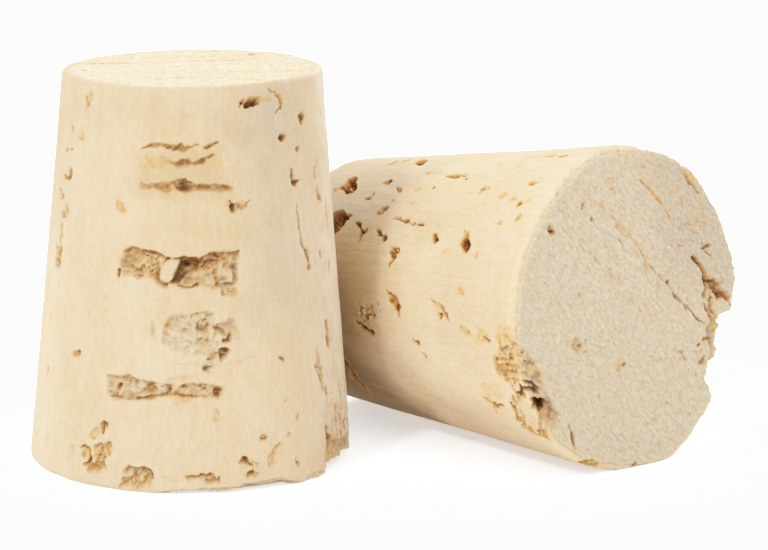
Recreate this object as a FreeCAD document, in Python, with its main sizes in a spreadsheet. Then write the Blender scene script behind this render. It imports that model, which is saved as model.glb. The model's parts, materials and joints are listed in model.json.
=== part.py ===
import FreeCAD, Part
import math
import os

import Sketcher

# A pair of loose tapered stoppers, each turned from one piece of natural bark cork. One stands on its large
# end, the other lies on its side beside it. Millimetres, +Z up. The origin is the centre of the standing
# stopper's large end, on the table; +Y runs away from the viewer and +X towards the lying stopper.
#
# Every stopper is modelled standing on its large end about its own Z axis. A bearing is measured about that
# axis from the side that faces -Y, positive towards +X; a height is measured up from the large end.

SHEET = "sizes"

# The driving dimensions of both stoppers and the place of the lying one.
STOPPER_SIZES = {
    "large_diameter": 24.0,
    "small_diameter": 19.0,
    "stopper_length": 29.0,
    "rim_ease": 0.25,
    "lying_x": 32.3,
    "lying_y": -2.1,
    "lying_turn": 43.0,
}

# Lenticel channels: the bark's pores run straight through the stopper and open on its side as slits and
# gouges. bearing, height: the middle of the opening. span: its length round the stopper. gap: its height.
# depth: how far its floor lies under the skin.
UPRIGHT_CHANNELS = {
    "top_slit": {"bearing": -1.5, "height": 24.8, "span": 5.3, "gap": 0.4, "depth": 0.5},
    "second_slit": {"bearing": -2.3, "height": 23.7, "span": 5.2, "gap": 0.4, "depth": 0.5},
    "third_slit": {"bearing": 1.5, "height": 21.9, "span": 6.4, "gap": 0.6, "depth": 0.7},
    "middle_gouge": {"bearing": -2.3, "height": 16.1, "span": 9.2, "gap": 2.2, "depth": 1.1},
    "crumbled_patch": {"bearing": 6.5, "height": 11.4, "span": 6.8, "gap": 3.0, "depth": 0.5},
    "lower_gouge": {"bearing": -7.0, "height": 7.6, "span": 8.7, "gap": 1.8, "depth": 1.1},
}
LYING_CHANNELS = {
    "star_gouge": {"bearing": -122.0, "height": 4.4, "span": 2.0, "gap": 1.2, "depth": 0.8},
    "belly_gouge": {"bearing": -89.0, "height": 8.2, "span": 3.0, "gap": 1.0, "depth": 0.7},
}

# Places where the large end's rim has broken away. bearing: the middle of the break. rise: how far it climbs
# the side. bite: how far it reaches in across the end.
UPRIGHT_BREAKS = {
    "corner_break": {"bearing": 68.0, "rise": 3.4, "bite": 0.9},
}
LYING_BREAKS = {
    "gouged_rim": {"bearing": -112.0, "rise": 3.6, "bite": 1.1},
    "crumbled_rim": {"bearing": 117.0, "rise": 1.8, "bite": 1.3},
}


def add_sizes(sheet, sizes, first_row, prefix=""):
    """Write the sizes to the sheet from first_row down, one named cell each, and return the next free row."""
    row = first_row
    for name, value in sizes.items():
        sheet.set(f"A{row}", prefix + name)
        sheet.set(f"B{row}", str(value))
        sheet.setAlias(f"B{row}", prefix + name)
        row += 1
    return row


def cell(name):
    """The expression that reads one named cell."""
    return f"<<{SHEET}>>.{name}"


def origin_plane(body, role):
    """The origin plane of a body with this role, such as XY_Plane."""
    return next(f for f in body.Origin.OriginFeatures if f.Role == role)


def add_sketch(body, name, role):
    """A sketch on one of the body's own origin planes."""
    sketch = body.newObject("Sketcher::SketchObject", name)
    sketch.AttachmentSupport = (origin_plane(body, role), [""])
    sketch.MapMode = "FlatFace"
    return sketch


def add_outline(sketch, corners):
    """Straight lines from corner to corner and back to the first, joined end to end."""
    count = len(corners)
    for i in range(count):
        start = FreeCAD.Vector(*corners[i], 0)
        end = FreeCAD.Vector(*corners[(i + 1) % count], 0)
        sketch.addGeometry(Part.LineSegment(start, end), False)
    for i in range(count):
        sketch.addConstraint(Sketcher.Constraint("Coincident", i, 2, (i + 1) % count, 1))


def pin_corner(sketch, corner, x_expression, y_expression, guess):
    """Hold the start of line number corner at sizes read from the sheet."""
    for kind, expression, value in (("DistanceX", x_expression, guess[0]), ("DistanceY", y_expression, guess[1])):
        number = sketch.addConstraint(Sketcher.Constraint(kind, -1, 1, corner, 1, value))
        sketch.setExpression(f"Constraints[{number}]", expression)


def turn_profile(body):
    """The tapered body: a half profile with eased rims, revolved about the stopper's axis."""
    large = STOPPER_SIZES["large_diameter"] / 2
    small = STOPPER_SIZES["small_diameter"] / 2
    length = STOPPER_SIZES["stopper_length"]
    ease = STOPPER_SIZES["rim_ease"]
    guesses = [
        (0, 0),
        (large - ease, 0),
        (large, ease),
        (small, length - ease),
        (small - ease, length),
        (0, length),
    ]
    zero = "0 mm"
    ease_cell = cell("rim_ease") + " * 1mm"
    large_radius = cell("large_diameter") + " * 0.5mm"
    small_radius = cell("small_diameter") + " * 0.5mm"
    length_cell = cell("stopper_length") + " * 1mm"
    places = [
        (zero, zero),
        (f"{large_radius} - {ease_cell}", zero),
        (large_radius, ease_cell),
        (small_radius, f"{length_cell} - {ease_cell}"),
        (f"{small_radius} - {ease_cell}", length_cell),
        (zero, length_cell),
    ]
    sketch = add_sketch(body, body.Name + "_profile", "XZ_Plane")
    add_outline(sketch, guesses)
    for corner, (place, guess) in enumerate(zip(places, guesses)):
        pin_corner(sketch, corner, place[0], place[1], guess)
    turned = body.newObject("PartDesign::Revolution", body.Name + "_turned")
    turned.Profile = sketch
    turned.ReferenceAxis = (sketch, ["V_Axis"])
    turned.Angle = 360
    return turned


def place_on_side(sketch, prefix, out, up):
    """Stand a sketch at its bearing, facing outwards, its origin out from the axis and up the stopper."""
    bearing = cell(prefix + "bearing") + " * 1deg"
    sketch.AttachmentOffset = FreeCAD.Placement(FreeCAD.Vector(0, 0, 1), FreeCAD.Rotation(FreeCAD.Vector(0, 1, 0), 1))
    sketch.setExpression("AttachmentOffset.Base.x", f"({out}) * sin({bearing})")
    sketch.setExpression("AttachmentOffset.Base.y", up)
    sketch.setExpression("AttachmentOffset.Base.z", f"({out}) * cos({bearing})")
    sketch.setExpression("AttachmentOffset.Rotation.Angle", bearing)


def cut_channel(body, prefix, channel):
    """A lenticel channel: a spindle-shaped opening, cut from its floor outwards through the skin."""
    half_span = channel["span"] / 2
    half_gap = channel["gap"] / 2
    shoulder = 0.7
    signs = [(-1, 0), (-shoulder, 1), (shoulder, 1), (1, 0), (shoulder, -1), (-shoulder, -1)]
    sketch = add_sketch(body, prefix + "opening", "XZ_Plane")
    add_outline(sketch, [(x * half_span, y * half_gap) for x, y in signs])
    for corner, (x, y) in enumerate(signs):
        span_at = f"{cell(prefix + 'span')} * {x / 2} * 1mm"
        gap_at = f"{cell(prefix + 'gap')} * {y / 2} * 1mm"
        pin_corner(sketch, corner, span_at, gap_at, (x * half_span, y * half_gap))
    narrowing = f"({cell('large_diameter')} - {cell('small_diameter')}) / 2 / {cell('stopper_length')}"
    skin = f"{cell('large_diameter')} / 2 - {cell(prefix + 'height')} * {narrowing}"
    floor = f"({skin} - {cell(prefix + 'depth')}) * 1mm"
    place_on_side(sketch, prefix, floor, cell(prefix + "height") + " * 1mm")
    cut = body.newObject("PartDesign::Pocket", prefix + "cut")
    cut.Profile = sketch
    cut.Reversed = True
    cut.setExpression("Length", cell(prefix + "span") + " * 1mm")
    return cut


def cut_break(body, prefix, chip):
    """A broken rim: one oblique flat face where the corner between side and large end has gone."""
    sketch = add_sketch(body, prefix + "section", "XZ_Plane")
    large = STOPPER_SIZES["large_diameter"] / 2
    below = 1.0
    outside = 1.0
    slope = chip["bite"] / chip["rise"]
    guesses = [
        (large - chip["bite"] - below * slope, -below),
        (large + outside, -below),
        (large + outside, chip["rise"] + outside / slope),
    ]
    add_outline(sketch, guesses)
    rim = cell("large_diameter") + " / 2"
    bite = cell(prefix + "bite")
    rise = cell(prefix + "rise")
    places = [
        (f"({rim} - {bite} - {below} * {bite} / {rise}) * 1mm", f"{-below} mm"),
        (f"({rim} + {outside}) * 1mm", f"{-below} mm"),
        (f"({rim} + {outside}) * 1mm", f"({rise} + {outside} * {rise} / {bite}) * 1mm"),
    ]
    for corner, (place, guess) in enumerate(zip(places, guesses)):
        pin_corner(sketch, corner, place[0], place[1], guess)
    turn = f"({cell(prefix + 'bearing')} - 90) * 1deg"
    sketch.AttachmentOffset = FreeCAD.Placement(FreeCAD.Vector(), FreeCAD.Rotation(FreeCAD.Vector(0, 1, 0), 1))
    sketch.setExpression("AttachmentOffset.Rotation.Angle", turn)
    cut = body.newObject("PartDesign::Pocket", prefix + "cut")
    cut.Profile = sketch
    cut.Midplane = True
    cut.setExpression("Length", cell("large_diameter") + " * 1mm")
    return cut


def build_stopper(doc, label, channels, breaks):
    """One stopper, standing on its large end at the origin."""
    body = doc.addObject("PartDesign::Body", label)
    body.Label = label
    turn_profile(body)
    doc.recompute()
    volume = body.Shape.Volume
    cuts = [(cut_channel, channels), (cut_break, breaks)]
    for cut, features in cuts:
        for name, feature in features.items():
            cut(body, f"{label}_{name}_", feature)
            doc.recompute()
            if body.Shape.Volume >= volume:
                raise RuntimeError(f"{label}: {name} removed nothing")
            volume = body.Shape.Volume
    return body


def lying_placement(sheet):
    """Tipped backwards until its side line lies on the table, then turned about the vertical."""
    large = sheet.large_diameter / 2
    narrowing = (sheet.large_diameter - sheet.small_diameter) / 2
    half_angle = math.atan2(narrowing, sheet.stopper_length - 2 * sheet.rim_ease)
    # The distance from the large end's centre to the side line, which starts at the eased rim.
    height = large * math.cos(half_angle) + sheet.rim_ease * math.sin(half_angle)
    tip = FreeCAD.Rotation(FreeCAD.Vector(1, 0, 0), -90 - math.degrees(half_angle))
    turn = FreeCAD.Rotation(FreeCAD.Vector(0, 0, 1), sheet.lying_turn)
    return FreeCAD.Placement(FreeCAD.Vector(sheet.lying_x, sheet.lying_y, height), turn * tip)


def check(doc, bodies):
    """Stop before anything is written if an object has failed or a stopper is not one valid solid."""
    for item in doc.Objects:
        if "Invalid" in item.State or "Error" in item.State:
            raise RuntimeError(f"{item.Name} failed: {item.State}")
    for body in bodies:
        shape = body.Shape
        if shape.isNull() or not shape.isValid() or len(shape.Solids) != 1:
            raise RuntimeError(f"{body.Label} is not one valid solid")


doc = FreeCAD.newDocument("cork_stoppers")
sizes = doc.addObject("Spreadsheet::Sheet", SHEET)
row = add_sizes(sizes, STOPPER_SIZES, 1)
STOPPERS = {
    "upright_stopper": (UPRIGHT_CHANNELS, UPRIGHT_BREAKS),
    "lying_stopper": (LYING_CHANNELS, LYING_BREAKS),
}
for label, groups in STOPPERS.items():
    for features in groups:
        for name, feature in features.items():
            row = add_sizes(sizes, feature, row, f"{label}_{name}_")
doc.recompute()

bodies = [build_stopper(doc, label, *groups) for label, groups in STOPPERS.items()]
bodies[1].Placement = lying_placement(sizes)
doc.recompute()
check(doc, bodies)

os.makedirs("parts", exist_ok=True)
for body in bodies:
    body.Shape.exportStep(f"parts/{body.Label}.step")
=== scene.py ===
import itertools
import json
import math

import bpy
import numpy as np
from mathutils import Matrix, Vector


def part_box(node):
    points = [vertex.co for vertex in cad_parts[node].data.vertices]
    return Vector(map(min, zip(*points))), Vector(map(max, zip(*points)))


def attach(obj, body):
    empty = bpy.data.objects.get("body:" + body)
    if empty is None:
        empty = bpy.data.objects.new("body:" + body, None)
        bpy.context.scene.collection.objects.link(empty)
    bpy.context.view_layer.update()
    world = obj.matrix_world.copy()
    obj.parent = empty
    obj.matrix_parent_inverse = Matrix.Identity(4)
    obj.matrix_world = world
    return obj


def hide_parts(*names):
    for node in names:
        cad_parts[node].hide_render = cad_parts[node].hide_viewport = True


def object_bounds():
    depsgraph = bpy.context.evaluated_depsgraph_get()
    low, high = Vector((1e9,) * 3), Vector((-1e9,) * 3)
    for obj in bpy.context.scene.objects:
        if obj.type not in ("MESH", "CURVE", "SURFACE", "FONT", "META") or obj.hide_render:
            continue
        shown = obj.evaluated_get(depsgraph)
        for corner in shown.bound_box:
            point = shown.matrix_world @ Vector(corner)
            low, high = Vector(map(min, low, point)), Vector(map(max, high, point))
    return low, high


# Two loose tapered stoppers of natural bark cork: one stands on its large end, the other lies on its side.
#
# Each stopper is one closed mesh of quads, made standing on its large end about its own Z axis, in
# millimetres, and put in its place at the end. Places on a stopper are written as the frame's CAD source
# writes them: a bearing is measured in degrees about the axis from the -Y side, positive towards +X, and a
# height is measured up from the large end. Places on an end are x and y.

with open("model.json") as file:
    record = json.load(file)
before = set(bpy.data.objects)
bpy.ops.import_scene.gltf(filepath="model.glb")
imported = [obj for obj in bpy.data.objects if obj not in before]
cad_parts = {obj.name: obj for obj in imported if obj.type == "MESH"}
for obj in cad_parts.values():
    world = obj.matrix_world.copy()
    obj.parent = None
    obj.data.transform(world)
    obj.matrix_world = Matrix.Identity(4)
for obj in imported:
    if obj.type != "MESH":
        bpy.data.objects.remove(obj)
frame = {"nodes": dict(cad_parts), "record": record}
cad_low, cad_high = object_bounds()

MM = 0.001
# The mesh: quads along a quarter of the way round, how wide the eased rims are and in how many steps, and
# how far under the surface the places are that cuts point at.
GRID = 200
RIM = 0.3
RIM_STEPS = 5
INNER = 5.0


# ---------------------------------------------------------------- the frame's sizes and places


def mount(name):
    """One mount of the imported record."""
    return next(m for m in frame["record"]["mounts"] if m["name"] == name)


def frame_sizes():
    """Large radius, small radius and length of a stopper, in millimetres, from the CAD node that stands."""
    low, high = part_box("upright_stopper")
    length = high.z - low.z
    mesh = frame["nodes"]["upright_stopper"].data
    top_band = length * 0.02
    near_top = [v.co for v in mesh.vertices if v.co.z > high.z - top_band]
    small = max(math.hypot(co.x, co.y) for co in near_top)
    return (high.x - low.x) / 2 / MM, small / MM, length / MM


def lying_matrix():
    """The lying stopper's own frame: Z along its axis from the large end, -Y on the side that faces up."""
    start = Vector(mount("lying_large_end")["pos_m"])
    end = Vector(mount("lying_small_end")["pos_m"])
    axis = (end - start).normalized()
    up = Vector((0, 0, 1))
    y = -(up - axis * up.dot(axis)).normalized()
    x = y.cross(axis)
    matrix = Matrix((x, y, axis)).transposed().to_4x4()
    matrix.translation = start
    return matrix


LARGE, SMALL, LENGTH = frame_sizes()


# ---------------------------------------------------------------- noise


class Noise:
    """Smooth seeded noise from -1 to 1 in space: a lattice of random numbers blended between its points.

    A number that is added to the points moves the lattice, which gives each use a pattern of its own.
    """

    # The lattice, how far it is moved off the stopper's axis, and how each layer follows from the last one.
    SIZE = 32
    SHIFT = 7.31
    FINER = 2.1
    WEAKER = 0.55
    GAIN = 1.3

    def __init__(self, seed):
        shape = (self.SIZE, self.SIZE, self.SIZE)
        self.lattice = np.random.default_rng(seed).uniform(-1.0, 1.0, shape)

    def __call__(self, points, grain):
        """points: n by 3, in millimetres. grain: the size of one lump, one number or one for each axis."""
        places = points / np.asarray(grain, float) + self.SHIFT
        cells = np.floor(places).astype(int)
        part = places - cells
        blend = part * part * (3 - 2 * part)
        total = np.zeros(len(points))
        for corner in itertools.product((0, 1), repeat=3):
            weight = np.ones(len(points))
            for axis in range(3):
                weight *= blend[:, axis] if corner[axis] else 1 - blend[:, axis]
            at = (cells + np.array(corner)) % self.SIZE
            total += weight * self.lattice[at[:, 0], at[:, 1], at[:, 2]]
        return total

    def layered(self, points, grain, layers=3):
        """Finer and weaker layers on top of one another."""
        total = np.zeros(len(points))
        size = np.asarray(grain, float)
        share = 1.0
        for _ in range(layers):
            total += share * self(points, size)
            size = size / self.FINER
            share *= self.WEAKER
        return total * self.GAIN


def smooth(low, high, value):
    """0 up to low, 1 from high, and smooth between. high may be under low, which turns it round."""
    t = np.clip((value - low) / (high - low), 0.0, 1.0)
    return t * t * (3 - 2 * t)


def distance_to_line(flat, start, end):
    """How far along a line each flat point lies, from 0 to 1, and its distance from the line."""
    span = end - start
    along = np.clip(((flat - start) @ span) / max(span @ span, 1e-12), 0, 1)
    return along, np.linalg.norm(flat - start - along[:, None] * span, axis=1)


def distance_inside(flat, outline):
    """How far inside an outline each flat point lies; negative outside."""
    nearest = np.full(len(flat), 1e9)
    inside = np.zeros(len(flat), bool)
    for start, end in zip(outline, np.roll(outline, -1, axis=0)):
        nearest = np.minimum(nearest, distance_to_line(flat, start, end)[1])
        spans = (start[1] > flat[:, 1]) != (end[1] > flat[:, 1])
        rise = end[1] - start[1] if end[1] != start[1] else 1e-12
        crossing = start[0] + (flat[:, 1] - start[1]) / rise * (end[0] - start[0])
        inside ^= spans & (crossing > flat[:, 0])
    return np.where(inside, nearest, -nearest)


# ---------------------------------------------------------------- what a stopper's surface carries


class Feature:
    """Something cut into, broken out of or raised on a stopper, or painted light and shade on its colour.

    spot: the surface it is drawn on. "side" takes bearing and height. "large" and "small" are the ends and
    take x and y. "rim" is the large end's rim and takes a bearing and the way along the surface from the rim,
    up the side where it is positive and in over the end where it is negative.
    """

    def __init__(self, kind, **values):
        self.kind = kind
        self.spot = "side"
        self.__dict__.update(values)


def on(spot, *features):
    """Features drawn on another surface than the side."""
    for feature in features:
        feature.spot = spot
    return features


def pit(at, size, deep, stain, lean=0, jag=0.12, wall=0.45, crumbs=0.3):
    """An open pore. size: its length round the stopper and along it; lean: degrees anticlockwise."""
    more = {"lean": lean, "jag": jag, "wall": wall, "crumbs": crumbs}
    return Feature("pit", at=at, size=size, deep=deep, stain=stain, **more)


def crack(points, gap, deep, stain, wander=0.12, swell=0.8):
    """A slit that follows the points. gap: its width in the middle; swell: how much that varies."""
    return Feature("crack", points=points, gap=gap, deep=deep, stain=stain, wander=wander, swell=swell)


def patch(outline, deep, stain, wall=0.2, jag=0.1, rough=0.4):
    """Cork gone inside an outline. wall: how wide its edge slopes; rough: how uneven its floor is."""
    return Feature("patch", points=outline, deep=deep, stain=stain, wall=wall, jag=jag, rough=rough)


def chip(outline, level, stain=0.03, slope=(0.0, 0.0), rough=0.05):
    """A piece left standing in a gouge, its top at a level under the surface and sloping right and up."""
    return Feature("chip", points=outline, level=level, stain=stain, slope=slope, rough=rough)


def lump(at, size, lift, lean=0, clean=0.85):
    """A rounded crumb left in a gouge. clean: how far it hides the stain under it."""
    return Feature("lump", at=at, size=size, lift=lift, lean=lean, clean=clean)


def tint(outline, times, wall):
    """Painted light and shade: the cork's colour made lighter or darker inside an outline with a soft edge.
    times: what red, green and blue are times.
    """
    return Feature("tint", points=outline, times=times, wall=wall)


def swell(at, reach, rise):
    """A place where the stopper is out of round. reach: degrees and millimetres each way."""
    return Feature("swell", at=at, reach=reach, rise=rise)


def flecks(start, end, spread, seed, count, stain):
    """Short dashes of darker cork along a line and lying its way. spread: how far they stray from it."""
    random = np.random.default_rng(seed)
    start, end = np.array(start), np.array(end)
    run = (end - start) / np.linalg.norm(end - start)
    square = np.array((-run[1], run[0]))
    dashes = []
    for _ in range(count):
        middle = start + (end - start) * random.uniform(0, 1) + square * spread * random.normal()
        half = run * random.uniform(*FLECK_HALF)
        points = [tuple(middle + half * t) for t in (-1, 0, 1)]
        dark = stain * random.uniform(*STAIN_SPREAD)
        dashes.append(crack(points, random.uniform(*FLECK_GAP), random.uniform(*FLECK_DEEP), dark))
    return dashes


def peppered(at, spread, seed, count, stain):
    """Many tiny pores round a place. spread: how far they stray from it each way."""
    random = np.random.default_rng(seed)
    pores = []
    for _ in range(count):
        place = tuple(np.array(at) + np.array(spread) * random.normal(size=2))
        size = random.uniform(*TINY_SIZE)
        dark = stain * random.uniform(*STAIN_SPREAD)
        pores.append(pit(place, (size, size * random.uniform(*TINY_ROUND)), TINY_DEEP, dark, jag=0.04))
    return pores


# Flecks and tiny pores, in millimetres: half their length, their width and depth, and how much stains vary.
FLECK_HALF = (0.12, 0.45)
FLECK_GAP = (0.1, 0.22)
FLECK_DEEP = (0.04, 0.12)
TINY_SIZE = (0.12, 0.24)
TINY_ROUND = (0.6, 1.2)
TINY_DEEP = 0.15
STAIN_SPREAD = (0.5, 1.4)

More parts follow.
